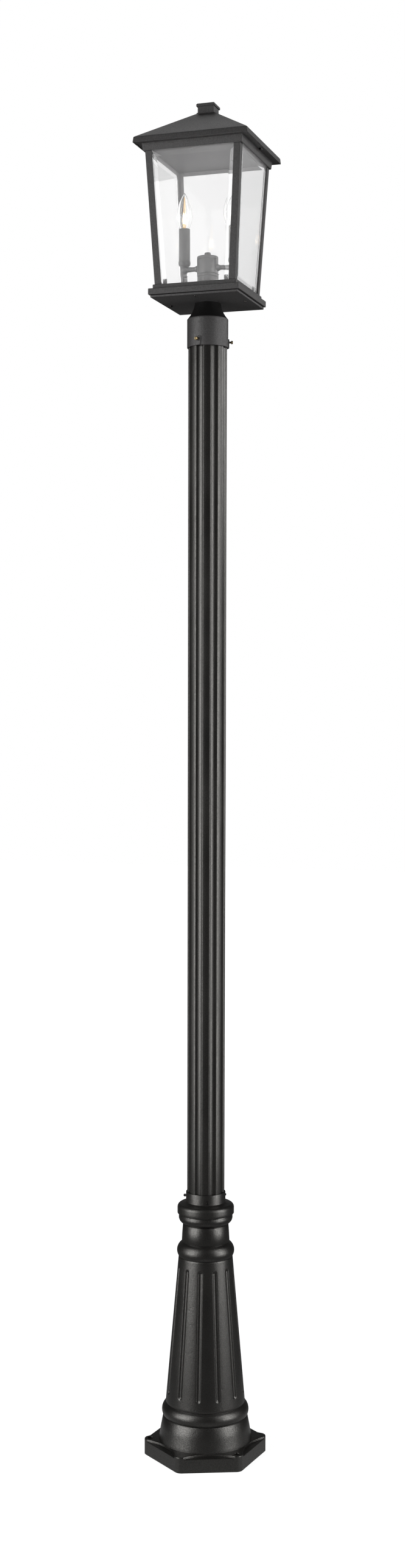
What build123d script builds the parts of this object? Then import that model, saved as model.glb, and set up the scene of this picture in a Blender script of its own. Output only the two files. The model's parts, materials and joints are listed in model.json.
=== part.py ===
from build123d import *
import math
import os

# A post lantern: a cast hexagonal base, a fluted post, and a four-sided glazed
# lantern that holds two candle lamps. Millimetres, +Z up, the ground is z = 0
# and the post's axis is the Z axis. The lantern's front looks along -Y.
# A turn is an angle seen from above, from the front (-Y) towards the right (+X).

os.makedirs("parts", exist_ok=True)

# Gaps between pieces
post_gap = 0.3            # round the post, inside the two collars
seat_gap = 0.3            # between sloping or curved pieces that meet
thread_gap = 0.1          # round every screw, stud and threaded tube
lamp_gap = 0.35           # round the bulb's screw shell, inside the socket
overrun = 1.0             # how far a cutter or a blind hole goes past its end

# Foot of the base: a hexagon with a scallop cut into the top of each side
foot_corner_r = 128.0     # axis to the sharp corner, before it is rounded
foot_height = 33.0
foot_corner_round = 15.0
foot_wall = 6.0
foot_top = 9.0            # thickness of the foot's top
foot_edge_round = 1.6
foot_turn = 22.5          # where a flat side faces
scallop_r = 100.0
scallop_reach = 15.0      # how far the arc runs in from the flat side
scallop_depth = 4.0
anchor_inset = 14.5       # foot's sharp corner to the anchor hole
anchor_hole_r = 5.75
anchor_boss_r = 11.5
anchor_count = 3

# Turned shape of the base above the foot, going up. The cone between the two
# beads takes up what the other heights leave.
base_height = 551.0
cast_wall = 5.0
skirt_foot_r = 96.0
skirt_top_r = 86.8
skirt_height = 51.0
low_bead_r = 89.4
low_bead_height = 25.0
cone_foot_r = 82.0
cone_top_r = 55.4
high_bead_r = 58.6
high_bead_height = 28.0
neck_foot_r = 49.6
neck_top_r = 46.4
neck_height = 40.0
shoulder_bead_r = 55.2
shoulder_bead_height = 19.0
shoulder_bead_drop = 7.0  # from the shoulder down to the bead's widest place
shoulder_step = 1.5
shoulder_r = 57.9
shoulder_height = 25.0
shoulder_round = 8.0
collar_foot_rise = 3.0    # the shoulder's top climbs this much towards the collar
collar_wall = 2.0
collar_height = 21.0

# Sunk grooves round the cone, between its two beads
groove_count = 12
groove_foot_gap = 23.0    # cone's foot to the groove
groove_top_gap = 20.0     # groove to the cone's top
groove_cutter_r = 6.0
groove_depth = 2.6

# Screws round the base collar
collar_screw_count = 3
collar_screw_r = 2.4
collar_screw_rise = 7.0   # above the collar's foot
collar_screw_stand = 6.5  # from the collar to the underside of the head
collar_head_r = 3.3
collar_head_height = 3.0
collar_head_taper = 18.0

# Fluted post
post_r = 38.1
post_length = 1809.0
post_in_base = 66.0
post_wall = 2.3
flute_count = 8
flute_r = 13.0
flute_depth = 3.1
flute_edge_round = 0.8
land_turn = 16.6          # where one of the lands faces
post_seat_hole_r = 32.0
post_seat_height = 5.0

# Fitter: the cast collar that carries the lantern on the post
fitter_wall = 2.1
fitter_skirt = 54.5       # length of its straight part
flare_height = 31.5
flare_top_r = 25.3
flare_mid_r = 31.2
flare_mid_drop = 18.5
fitter_ledge = 4.2        # width of the ring that rests on the post
fitter_top = 5.0
fitter_hollow_r = 21.0
fitter_hollow_drop = 13.0
fitter_screw_turn = -10.0
fitter_screw_count = 3
fitter_screw_rise = 11.5  # above the fitter's rim
fitter_pad_width = 12.0
fitter_pad_height = 17.0
fitter_pad_proud = 1.9
fitter_screw_r = 2.0
fitter_screw_stand = 4.0
fitter_head_r = 3.5
fitter_head_height = 3.2
fitter_head_taper = 12.0
slot_width = 0.9
slot_depth = 1.0

# Threaded tube that ties the fitter, the tray and the lamp hub together
tube_r = 4.8
tube_bore_r = 3.3
tube_below_nut = 4.0
tube_slot_width = 3.4     # slot that lets the wires out of the tube into the tray
tube_slot_height = 5.8
nut_flats = 15.0
nut_height = 5.0

# Bottom plate and its screws
plate_inset = 3.5         # tray's edge to the plate's
plate_thick = 4.0
plate_edge_chamfer = 0.5
plate_land_inset = 5.0    # plate's edge to its land's
plate_land = 0.9
plate_screw_inset = 5.4   # wiring space's wall to the screws
plate_screw_r = 1.9
plate_screw_length = 12.0
plate_head_r = 3.4
plate_head_height = 2.2
plate_head_taper = 20.0
plate_boss_r = 4.6

# Two-step tray that the cage stands on
tray_step = 7.1           # how far the low step stands out from the high one
tray_low_height = 11.5
tray_rim = 3.2            # high step's edge outside the cage's foot
tray_high_height = 8.4
tray_wall = 3.0
tray_recess = 6.0         # how deep the floor lies below the tray's rim
tray_edge_round = 1.0

# Cage: four corner angles and the frame round their tops
cage_foot_half = 81.7
cage_rise = 247.9         # tray rim to the underside of the top band
cage_spread = 14.3        # how much further out its sides are under the band
angle_leg = 13.5
angle_thick = 1.8
band_foot_proud = 3.5     # band's foot outside the cage there
band_top_proud = 5.0
band_height = 13.7
frame_flange_gap = 0.5    # between its edge and the fascia's inside
frame_flange_thick = 1.8
band_inner_gap = 0.4      # between the cage's corners and the band

# Bevelled glass
glass_thick = 4.0
glass_edge_thick = 1.6
bevel_width = 17.0
clip_width = 8.0
clip_height = 16.0
clip_thick = 1.0
clip_foot = 8.0
clip_inset = 9.0          # from the pane's side edge to the clip

# Roof, ceiling pan and finial
roof_overhang = 14.0      # band's top to the fascia's foot
fascia_lean = 1.3         # how much further in the fascia's top is
fascia_height = 10.4
fascia_drop = 0.8         # how far the fascia hangs below the frame's flange
roof_top_half = 18.6
roof_rise = 61.0
roof_wall = 2.0
roof_top_thick = 4.0
pan_gap = 0.5
pan_thick = 1.2
pan_flange_thick = 1.0
pan_flange_inset = 0.6    # frame's edge to the pan's
pan_depth = 8.4
soffit_screw_inset = 5.2  # frame's edge to the screws
soffit_screw_r = 1.75
soffit_screw_length = 9.5
soffit_head_r = 3.8
soffit_head_height = 3.2
soffit_head_taper = 6.0
roof_boss_r = 4.0
finial_foot_half = 18.2
finial_foot_height = 1.8
finial_neck_half = 16.4
finial_neck_height = 12.0
finial_cap_half = 18.6
finial_cap_height = 5.8
finial_cap_chamfer = 1.6
finial_stud_r = 2.9
finial_stud_depth = 9.0
finial_stud_below = 11.0
finial_nut_flats = 10.0
finial_nut_height = 4.5

# Lamp hub and arms
hub_foot_r = 21.4
hub_foot_height = 24.2
hub_r = 20.8
hub_height = 40.0
hub_line_rise = 12.0      # turned line above the hub's foot
hub_line_depth = 0.5
hub_wall = 2.0
hub_cap_height = 6.0
hub_cap_recess = 3.0
hub_cap_round = 1.6
wire_hole_r = 3.4
wire_hole_reach = 12.5
cap_nut_r = 6.4
cap_nut_height = 8.0
cap_nut_round = 2.4
cap_nut_top_thick = 3.4
arm_rise = 24.0           # arm's axis above the hub body's foot
arm_r = 4.4
arm_in_hub = 2.0          # length past the hub's wall
arm_bore_r = 3.2
arm_collar_r = 7.0
arm_collar_tip_r = 5.0
arm_collar_reach = 4.6
lamp_reach = 48.0         # axis to each lamp
knuckle_r = 8.0
knuckle_flat = 4.5        # height of its flat top above its centre
knuckle_stub_r = 4.9
knuckle_stub_reach = 15.0
arm_in_knuckle = 7.0

# Candle cup, sleeve and socket
cup_foot_r = 6.6
cup_r = 11.9
cup_height = 11.5
cup_foot_height = 1.0
cup_sweep = (1, 0.15)     # way its side leaves the foot
cup_rim = 3.6
cup_recess = 3.0
sleeve_r = 11.0
sleeve_wall = 1.0
sleeve_height = 65.0
stem_r = 4.8
stem_bore_r = 3.2
stem_height = 29.0
socket_top_drop = 4.0     # socket's mouth below the sleeve's top
socket_height = 46.0
socket_bore_depth = 29.0
socket_floor_thick = 2.0
shell_below_mouth = 1.0
shell_thick = 0.45
shell_height = 22.0
leaf_thick = 0.6
leaf_width = 4.0
leaf_rise = 4.2

# Candle bulb
bulb_shell_r = 5.9
bulb_shell_wall = 0.5
bulb_shell_height = 19.0
bulb_thread_pitch = 2.54
bulb_thread_rise = 1.5    # shell's foot to where the thread starts
bulb_thread_bare = 4.0    # height of the shell that has no thread
bulb_thread_depth = 0.35
bulb_tip_height = 1.9     # insulator below the screw shell
bulb_solder_r = 2.7
bulb_button_r = 2.2
bulb_button_height = 1.0
bulb_neck_r = 5.0
bulb_neck_in_shell = 4.0
bulb_mouth_r = 8.0
bulb_mouth = 5.5          # neck's top to where the glass leaves the sleeve
bulb_r = 15.5
bulb_belly = 35.5         # neck's top to the widest place
bulb_length = 76.5        # neck's top to the tip
bulb_glass_thick = 0.7
bulb_tip_thick = 2.1
bulb_mount_r = 1.9
bulb_mount_height = 18.0
filament_r = 0.35
filament_half_width = 3.2
filament_height = 26.0
filament_lead = 8.0

# Wiring inside
wire_r = 0.8
wire_side = 1.1           # each wire of a pair lies this far off the centre line
wire_bend_r = 2.7
connector_r = 4.6
connector_tip_r = 3.2
connector_length = 20.0
connector_reach = 28.0
ground_screw_r = 2.0
ground_head_flats = 8.0
ground_head_height = 3.0
ground_screw_reach = 45.0
ground_screw_depth = 1.8

# Directions worked out from the turns
foot_angle = foot_turn - 90
land_angle = land_turn - 90
fitter_angle = fitter_screw_turn - 90

# Heights worked out from the sizes above
skirt_top_z = foot_height + skirt_height
cone_foot_z = skirt_top_z + low_bead_height
collar_foot_z = base_height - collar_height
collar_screw_z = collar_foot_z + collar_screw_rise
shoulder_top_z = collar_foot_z - collar_foot_rise
shoulder_foot_z = collar_foot_z - shoulder_height
neck_top_z = shoulder_foot_z - shoulder_bead_height
neck_foot_z = neck_top_z - neck_height
cone_top_z = neck_foot_z - high_bead_height
groove_foot_z = cone_foot_z + groove_foot_gap
groove_top_z = cone_top_z - groove_top_gap
post_foot_z = base_height - post_in_base
post_top_z = post_foot_z + post_length
fitter_rim_z = post_top_z - fitter_skirt
plate_z = post_top_z + flare_height
tray_z = plate_z + plate_thick + plate_land
tray_step_z = tray_z + tray_low_height
tray_top_z = tray_step_z + tray_high_height
tray_floor_z = tray_top_z - tray_recess
tray_space_top_z = tray_floor_z - tray_wall
connector_z = (tray_z + tray_space_top_z) / 2
band_z = tray_top_z + cage_rise
flange_z = band_z + band_height
pan_flange_z = flange_z + frame_flange_thick
pan_z = pan_flange_z + pan_flange_thick - pan_depth - pan_thick
fascia_z = flange_z - fascia_drop
eaves_z = fascia_z + fascia_height
roof_top_z = eaves_z + roof_rise
hub_z = tray_floor_z + hub_foot_height
hub_cap_z = hub_z + hub_height
cap_nut_z = hub_cap_z + hub_cap_height
arm_z = hub_z + arm_rise
cup_z = arm_z + knuckle_flat
cup_top_z = cup_z + cup_height
sleeve_z = cup_top_z - cup_recess
sleeve_top_z = sleeve_z + sleeve_height
socket_top_z = sleeve_top_z - socket_top_drop
socket_z = socket_top_z - socket_height
socket_floor_z = socket_top_z - socket_bore_depth
stem_z = arm_z + arm_bore_r + thread_gap
bulb_button_z = socket_floor_z + leaf_rise + seat_gap
bulb_tip_z = bulb_button_z + bulb_button_height
bulb_shell_z = bulb_tip_z + bulb_tip_height
bulb_neck_z = bulb_shell_z + bulb_shell_height

# Half widths of the lantern, each from the one that carries it
tray_high_half = cage_foot_half + tray_rim
tray_low_half = tray_high_half + tray_step
plate_half = tray_low_half - plate_inset
plate_land_half = plate_half - plate_land_inset
cage_top_half = cage_foot_half + cage_spread
band_foot_half = cage_top_half + band_foot_proud
band_top_half = cage_top_half + band_top_proud
fascia_foot_half = band_top_half + roof_overhang
fascia_top_half = fascia_foot_half - fascia_lean

# Slope of the cage's sides, and of the cone of the base
cage_slope = (cage_top_half - cage_foot_half) / cage_rise
cage_tilt = math.degrees(math.atan(cage_slope))
cone_slope = (cone_foot_r - cone_top_r) / (cone_top_z - cone_foot_z)
cone_tilt = math.degrees(math.atan(cone_slope))
collar_bore_r = post_r + post_gap
collar_r = collar_bore_r + collar_wall
fitter_r = collar_bore_r + fitter_wall
foot_flat_r = foot_corner_r * math.cos(math.radians(30))
anchor_circle_r = foot_corner_r - anchor_inset

# Half widths inside the tray and under the roof
tray_space_half = tray_high_half - tray_wall
plate_screw_reach = tray_space_half - plate_screw_inset
fascia_slope = (fascia_foot_half - fascia_top_half) / fascia_height
fascia_inner_half = fascia_foot_half - (pan_flange_z - fascia_z) * fascia_slope - roof_wall
frame_flange_half = fascia_inner_half - frame_flange_gap
pan_flange_half = frame_flange_half - pan_flange_inset
soffit_screw_reach = frame_flange_half - soffit_screw_inset


def cage_half(z):
    """Outer half width of the cage at a height."""
    return cage_foot_half + (z - tray_top_z) * cage_slope


def radial_plane(angle, reach, z):
    """Plane at a distance from the axis, facing away from it; its own y is up."""
    a = math.radians(angle)
    return Plane(
        origin=(reach * math.cos(a), reach * math.sin(a), z),
        x_dir=(-math.sin(a), math.cos(a), 0),
        z_dir=(math.cos(a), math.sin(a), 0),
    )


def spaced_angles(count, first):
    """Directions that share a full turn evenly."""
    return [first + 360 / count * i for i in range(count)]


# Cutter for one sunk groove: a round bar with ball ends, along the cone's side
groove_mid_z = (groove_foot_z + groove_top_z) / 2
groove_mid_r = cone_foot_r - (groove_mid_z - cone_foot_z) * cone_slope
groove_bar = (groove_top_z - groove_foot_z) / math.cos(math.radians(cone_tilt)) - 2 * groove_cutter_r
groove_plane = Plane(
    origin=(groove_mid_r + groove_cutter_r - groove_depth, 0, groove_mid_z),
    x_dir=(0, 1, 0),
    z_dir=(-math.sin(math.radians(cone_tilt)), 0, math.cos(math.radians(cone_tilt))),
)
with BuildPart(groove_plane) as groove_cutter:
    Cylinder(groove_cutter_r, groove_bar)
    with Locations((0, 0, groove_bar / 2), (0, 0, -groove_bar / 2)):
        Sphere(groove_cutter_r)

# Cast base: hexagonal foot, hollow cone, neck, shoulder and collar in one piece
with BuildPart() as base_casting:
    with BuildSketch() as foot_outline:
        RegularPolygon(foot_corner_r, 6, rotation=foot_angle + 30)
        fillet(foot_outline.vertices(), foot_corner_round)
    extrude(amount=foot_height)
    with BuildSketch(Plane.XY.offset(foot_height - scallop_depth)):
        with PolarLocations(foot_flat_r - scallop_reach + scallop_r, 6, foot_angle):
            Circle(scallop_r)
    extrude(amount=scallop_depth, mode=Mode.SUBTRACT)
    fillet(base_casting.faces().sort_by(Axis.Z)[-1].edges(), foot_edge_round)
    with BuildSketch(Plane.XZ):
        with BuildLine():
            Polyline(
                (0, collar_foot_z),
                (0, foot_height - foot_top),
                (skirt_foot_r, foot_height - foot_top),
                (skirt_foot_r, foot_height),
                (skirt_top_r, skirt_top_z),
            )
            ThreePointArc(
                (skirt_top_r, skirt_top_z),
                (low_bead_r, (skirt_top_z + cone_foot_z) / 2),
                (cone_foot_r, cone_foot_z),
            )
            Line((cone_foot_r, cone_foot_z), (cone_top_r, cone_top_z))
            ThreePointArc(
                (cone_top_r, cone_top_z),
                (high_bead_r, (cone_top_z + neck_foot_z) / 2),
                (neck_foot_r, neck_foot_z),
            )
            Line((neck_foot_r, neck_foot_z), (neck_top_r, neck_top_z))
            ThreePointArc(
                (neck_top_r, neck_top_z),
                (shoulder_bead_r, shoulder_foot_z - shoulder_bead_drop),
                (shoulder_bead_r - shoulder_step, shoulder_foot_z),
            )
            Polyline(
                (shoulder_bead_r - shoulder_step, shoulder_foot_z),
                (shoulder_r, shoulder_foot_z + shoulder_step),
                (shoulder_r, shoulder_top_z - shoulder_round),
            )
            TangentArc(
                (shoulder_r, shoulder_top_z - shoulder_round),
                (shoulder_r - shoulder_round, shoulder_top_z),
                tangent=(0, 1),
            )
            Line((shoulder_r - shoulder_round, shoulder_top_z), (collar_r, collar_foot_z))
            Line((collar_r, collar_foot_z), (0, collar_foot_z))
        make_face()
    revolve(axis=Axis.Z)
    with BuildSketch(Plane.XY.offset(collar_foot_z)):
        Circle(collar_r)
    extrude(amount=base_height - collar_foot_z)
    with PolarLocations(0, groove_count, foot_angle + 180 / groove_count):
        add(groove_cutter.part, mode=Mode.SUBTRACT)
    # The hollow inside follows the outside, up to the seat that the post stands on
    with BuildSketch(Plane.XZ):
        with BuildLine():
            Polyline(
                (0, 0),
                (skirt_foot_r - cast_wall, 0),
                (skirt_foot_r - cast_wall, foot_height),
                (skirt_top_r - cast_wall, skirt_top_z),
                (cone_foot_r - cast_wall, cone_foot_z),
                (cone_top_r - cast_wall, cone_top_z),
                (neck_foot_r - cast_wall, neck_foot_z),
                (neck_top_r - cast_wall, post_foot_z - post_seat_height),
                (post_seat_hole_r, post_foot_z - post_seat_height),
                (post_seat_hole_r, post_foot_z),
                (collar_bore_r, post_foot_z),
                (collar_bore_r, base_height),
                (0, base_height),
                close=True,
            )
        make_face()
    revolve(axis=Axis.Z, mode=Mode.SUBTRACT)
    with BuildSketch() as foot_hollow:
        add(foot_outline.sketch)
        offset(amount=-foot_wall, mode=Mode.REPLACE)
        with PolarLocations(anchor_circle_r, anchor_count, foot_angle + 30):
            Circle(anchor_boss_r, mode=Mode.SUBTRACT)
    extrude(amount=foot_height - foot_top, mode=Mode.SUBTRACT)
    with BuildSketch():
        with PolarLocations(anchor_circle_r, anchor_count, foot_angle + 30):
            Circle(anchor_hole_r)
    extrude(amount=foot_height, mode=Mode.SUBTRACT)
    for angle in spaced_angles(collar_screw_count, foot_angle):
        with BuildSketch(radial_plane(angle, collar_bore_r - overrun, collar_screw_z)):
            Circle(collar_screw_r + thread_gap)
        extrude(amount=collar_wall + 2 * overrun, mode=Mode.SUBTRACT)

base_casting.part.label = "base_casting"
export_step(base_casting.part, "parts/base_casting.step")

# Round-headed screws that clamp the post in the base collar
collar_shank = collar_wall + collar_screw_stand
with BuildPart() as base_collar_screws:
    for angle in spaced_angles(collar_screw_count, foot_angle):
        with BuildSketch(radial_plane(angle, collar_bore_r, collar_screw_z)):
            Circle(collar_screw_r)
        extrude(amount=collar_shank)
        head_plane = radial_plane(angle, collar_bore_r + collar_shank, collar_screw_z)
        with BuildSketch(head_plane):
            Circle(collar_head_r)
        extrude(amount=collar_head_height, taper=collar_head_taper)
        with BuildSketch(head_plane.offset(collar_head_height - slot_depth)):
            Rectangle(slot_width, 2 * collar_head_r)
        extrude(amount=slot_depth, mode=Mode.SUBTRACT)

base_collar_screws.part.label = "base_collar_screws"
export_step(base_collar_screws.part, "parts/base_collar_screws.step")

# Fluted post: an extruded tube whose wall follows its flutes
with BuildPart() as post_tube:
    with BuildSketch(Plane.XY.offset(post_foot_z)) as post_section:
        Circle(post_r)
        with PolarLocations(post_r - flute_depth + flute_r, flute_count, land_angle + 180 / flute_count):
            Circle(flute_r, mode=Mode.SUBTRACT)
        fillet(post_section.vertices(), flute_edge_round)
        offset(amount=-post_wall, mode=Mode.SUBTRACT)
    extrude(amount=post_length)

post_tube.part.label = "post_tube"
export_step(post_tube.part, "parts/post_tube.step")

# Fitter: a straight skirt over the post's end and a flare up to the bottom plate
fitter_pad_foot_r = fitter_r - fitter_wall / 2
fitter_pad_r = fitter_r + fitter_pad_proud
with BuildPart() as fitter_collar:
    with BuildSketch(Plane.XZ):
        with BuildLine():
            ThreePointArc(
                (flare_top_r, plate_z),
                (flare_mid_r, plate_z - flare_mid_drop),
                (fitter_r, post_top_z),
            )
            Polyline(
                (fitter_r, post_top_z),
                (fitter_r, fitter_rim_z),
                (collar_bore_r, fitter_rim_z),
                (collar_bore_r, post_top_z),
                (collar_bore_r - fitter_ledge, post_top_z),
                (fitter_hollow_r, plate_z - fitter_hollow_drop),
                (fitter_hollow_r, plate_z - fitter_top),
                (tube_r + thread_gap, plate_z - fitter_top),
                (tube_r + thread_gap, plate_z),
                (flare_top_r, plate_z),
            )
        make_face()
    revolve(axis=Axis.Z)
    for angle in spaced_angles(fitter_screw_count, fitter_angle):
        with BuildSketch(radial_plane(angle, fitter_pad_foot_r, fitter_rim_z + fitter_pad_height / 2)):
            Rectangle(fitter_pad_width, fitter_pad_height)
        extrude(amount=fitter_pad_r - fitter_pad_foot_r)
        with BuildSketch(radial_plane(angle, collar_bore_r - overrun, fitter_rim_z + fitter_screw_rise)):
            Circle(fitter_screw_r + thread_gap)
        extrude(amount=fitter_wall + fitter_pad_proud + 2 * overrun, mode=Mode.SUBTRACT)

fitter_collar.part.label = "fitter_collar"
export_step(fitter_collar.part, "parts/fitter_collar.step")

# Brass screws that clamp the fitter on the post
fitter_shank = fitter_pad_r + fitter_screw_stand - collar_bore_r
with BuildPart() as fitter_screws:
    for angle in spaced_angles(fitter_screw_count, fitter_angle):
        screw_z = fitter_rim_z + fitter_screw_rise
        with BuildSketch(radial_plane(angle, collar_bore_r, screw_z)):
            Circle(fitter_screw_r)
        extrude(amount=fitter_shank)
        head_plane = radial_plane(angle, collar_bore_r + fitter_shank, screw_z)
        with BuildSketch(head_plane):
            Circle(fitter_head_r)
        extrude(amount=fitter_head_height, taper=fitter_head_taper)
        with BuildSketch(head_plane.offset(fitter_head_height - slot_depth)):
            Rectangle(slot_width, 2 * fitter_head_r)
        extrude(amount=slot_depth, mode=Mode.SUBTRACT)

fitter_screws.part.label = "fitter_screws"
export_step(fitter_screws.part, "parts/fitter_screws.step")

# Threaded tube, from below the fitter's nut up into the hub's cap nut
tube_foot_z = plate_z - fitter_top - nut_height - tube_below_nut
tube_top_z = cap_nut_z + cap_nut_height - cap_nut_top_thick
with BuildPart() as threaded_tube:
    with BuildSketch(Plane.XY.offset(tube_foot_z)):
        Circle(tube_r)
        Circle(tube_bore_r, mode=Mode.SUBTRACT)
    extrude(amount=tube_top_z - tube_foot_z)
    with Locations((0, 0, connector_z)):
        Box(2 * tube_r, tube_slot_width, tube_slot_height, mode=Mode.SUBTRACT)

threaded_tube.part.label = "threaded_tube"
export_step(threaded_tube.part, "parts/threaded_tube.step")

# Nut that pulls the fitter up against the bottom plate
with BuildPart() as fitter_nut:
    with BuildSketch(Plane.XY.offset(plate_z - fitter_top - nut_height)):
        RegularPolygon(nut_flats / 2, 6, major_radius=False)
        Circle(tube_r + thread_gap, mode=Mode.SUBTRACT)
    extrude(amount=nut_height)

fitter_nut.part.label = "fitter_nut"
export_step(fitter_nut.part, "parts/fitter_nut.step")

# Bottom plate: a flat square with a raised land that meets the tray
plate_screw_places = [
    (plate_screw_reach, 0),
    (0, plate_screw_reach),
    (-plate_screw_reach, 0),
    (0, -plate_screw_reach),
]
with BuildPart() as bottom_plate:
    with BuildSketch(Plane.XY.offset(plate_z)):
        Rectangle(2 * plate_half, 2 * plate_half)
    extrude(amount=plate_thick)
    chamfer(bottom_plate.faces().sort_by(Axis.Z)[0].edges(), plate_edge_chamfer)
    with BuildSketch(Plane.XY.offset(plate_z + plate_thick)):
        Rectangle(2 * plate_land_half, 2 * plate_land_half)
    extrude(amount=plate_land)
    with BuildSketch(Plane.XY.offset(plate_z)):
        Circle(tube_r + thread_gap)
        with Locations(*plate_screw_places):
            Circle(plate_screw_r + thread_gap)
    extrude(amount=plate_thick + plate_land, mode=Mode.SUBTRACT)

bottom_plate.part.label = "bottom_plate"
export_step(bottom_plate.part, "parts/bottom_plate.step")

# Pan-headed screws up through the plate into the tray
with BuildPart() as plate_screws:
    with BuildSketch(Plane.XY.offset(plate_z)):
        with Locations(*plate_screw_places):
            Circle(plate_screw_r)
    extrude(amount=plate_screw_length)
    with BuildSketch(Plane.XY.offset(plate_z)):
        with Locations(*plate_screw_places):
            Circle(plate_head_r)
    extrude(amount=-plate_head_height, taper=plate_head_taper)
    with BuildSketch(Plane.XY.offset(plate_z - plate_head_height)):
        with Locations(*plate_screw_places):
            Rectangle(slot_width, 2 * plate_head_r)
            Rectangle(2 * plate_head_r, slot_width)
    extrude(amount=slot_depth, mode=Mode.SUBTRACT)

plate_screws.part.label = "plate_screws"
export_step(plate_screws.part, "parts/plate_screws.step")

# Tray: two steps outside, a sunk floor above and a wiring space below
tray_recess_half = cage_foot_half - angle_thick
with BuildPart() as tray:
    with BuildSketch(Plane.XY.offset(tray_z)):
        Rectangle(2 * tray_low_half, 2 * tray_low_half)
    extrude(amount=tray_low_height)
    fillet(tray.faces().sort_by(Axis.Z)[-1].edges(), tray_edge_round)
    with BuildSketch(Plane.XY.offset(tray_step_z)):
        Rectangle(2 * tray_high_half, 2 * tray_high_half)
    extrude(amount=tray_high_height)
    fillet(tray.faces().sort_by(Axis.Z)[-1].edges(), tray_edge_round)
    with BuildSketch(Plane.XY.offset(tray_floor_z)):
        Rectangle(2 * tray_recess_half, 2 * tray_recess_half)
    extrude(amount=tray_recess, mode=Mode.SUBTRACT)
    with BuildSketch(Plane.XY.offset(tray_z)):
        Rectangle(2 * tray_space_half, 2 * tray_space_half)
        with Locations(*plate_screw_places):
            Circle(plate_boss_r, mode=Mode.SUBTRACT)
    extrude(amount=tray_space_top_z - tray_z, mode=Mode.SUBTRACT)
    with BuildSketch(Plane.XY.offset(tray_space_top_z)):
        Circle(tube_r + thread_gap)
        with Locations((wire_hole_reach, 0), (-wire_hole_reach, 0)):
            Circle(wire_hole_r)
    extrude(amount=tray_wall, mode=Mode.SUBTRACT)
    with BuildSketch(Plane.XY.offset(tray_z)):
        with Locations(*plate_screw_places):
            Circle(plate_screw_r + thread_gap)
    extrude(amount=plate_screw_length - plate_thick - plate_land + overrun, mode=Mode.SUBTRACT)
    with BuildSketch(Plane.XY.offset(tray_space_top_z)):
        with Locations((ground_screw_reach, -ground_screw_reach)):
            Circle(ground_screw_r + thread_gap)
    extrude(amount=ground_screw_depth + thread_gap, mode=Mode.SUBTRACT)

tray.part.label = "tray"
export_step(tray.part, "parts/tray.step")

# Hexagon-headed ground screw, up into the roof of the wiring space
with BuildPart() as ground_screw:
    with BuildSketch(Plane.XY.offset(tray_space_top_z - ground_head_height)):
        with Locations((ground_screw_reach, -ground_screw_reach)):
            RegularPolygon(ground_head_flats / 2, 6, major_radius=False)
    extrude(amount=ground_head_height)
    with BuildSketch(Plane.XY.offset(tray_space_top_z)):
        with Locations((ground_screw_reach, -ground_screw_reach)):
            Circle(ground_screw_r)
    extrude(amount=ground_screw_depth)

ground_screw.part.label = "ground_screw"
export_step(ground_screw.part, "parts/ground_screw.step")

# Foot of the lamp hub, a drum on the tray's floor
with BuildPart() as hub_foot:
    with BuildSketch(Plane.XY.offset(tray_floor_z)):
        Circle(hub_foot_r)
    extrude(amount=hub_foot_height)
    with BuildSketch(Plane.XY.offset(tray_floor_z + hub_wall)):
        Circle(hub_r - hub_wall)
    extrude(amount=hub_foot_height - hub_wall, mode=Mode.SUBTRACT)
    with BuildSketch(Plane.XY.offset(tray_floor_z)):
        Circle(tube_r + thread_gap)
        with Locations((wire_hole_reach, 0), (-wire_hole_reach, 0)):
            Circle(wire_hole_r)
    extrude(amount=hub_wall, mode=Mode.SUBTRACT)

hub_foot.part.label = "hub_foot"
export_step(hub_foot.part, "parts/hub_foot.step")

# Hub body: a drum with a turned line and a hole each side for the arms
with BuildPart() as hub_body:
    with BuildSketch(Plane.XZ):
        with BuildLine():
            Polyline(
                (hub_r - hub_wall, hub_z),
                (hub_r, hub_z),
                (hub_r, hub_z + hub_line_rise - hub_line_depth),
                (hub_r - hub_line_depth, hub_z + hub_line_rise),
                (hub_r, hub_z + hub_line_rise + hub_line_depth),
                (hub_r, hub_cap_z),
                (hub_r - hub_wall, hub_cap_z),
                close=True,
            )
        make_face()
    revolve(axis=Axis.Z)
    with BuildSketch(Plane.YZ.offset(-hub_r)):
        with Locations((0, arm_z)):
            Circle(arm_r + thread_gap)
    extrude(amount=2 * hub_r, mode=Mode.SUBTRACT)

hub_body.part.label = "hub_body"
export_step(hub_body.part, "parts/hub_body.step")

# Hub cap
with BuildPart() as hub_cap:
    with BuildSketch(Plane.XY.offset(hub_cap_z)):
        Circle(hub_r)
    extrude(amount=hub_cap_height)
    fillet(hub_cap.faces().sort_by(Axis.Z)[-1].edges(), hub_cap_round)
    with BuildSketch(Plane.XY.offset(hub_cap_z)):
        Circle(hub_r - hub_wall)
    extrude(amount=hub_cap_recess, mode=Mode.SUBTRACT)
    with BuildSketch(Plane.XY.offset(hub_cap_z)):
        Circle(tube_r + thread_gap)
    extrude(amount=hub_cap_height, mode=Mode.SUBTRACT)

hub_cap.part.label = "hub_cap"
export_step(hub_cap.part, "parts/hub_cap.step")

# Cap nut on the top of the threaded tube
with BuildPart() as cap_nut:
    with BuildSketch(Plane.XY.offset(cap_nut_z)):
        Circle(cap_nut_r)
    extrude(amount=cap_nut_height)
    fillet(cap_nut.faces().sort_by(Axis.Z)[-1].edges(), cap_nut_round)
    with BuildSketch(Plane.XY.offset(cap_nut_z)):
        Circle(tube_r + thread_gap)
    extrude(amount=tube_top_z - cap_nut_z + thread_gap, mode=Mode.SUBTRACT)

cap_nut.part.label = "cap_nut"
export_step(cap_nut.part, "parts/cap_nut.step")

# Everything that the two lamps have alike is made at the right and turned to the left
arm_start = hub_r - hub_wall - arm_in_hub
arm_end = lamp_reach - knuckle_stub_reach + arm_in_knuckle

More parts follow.
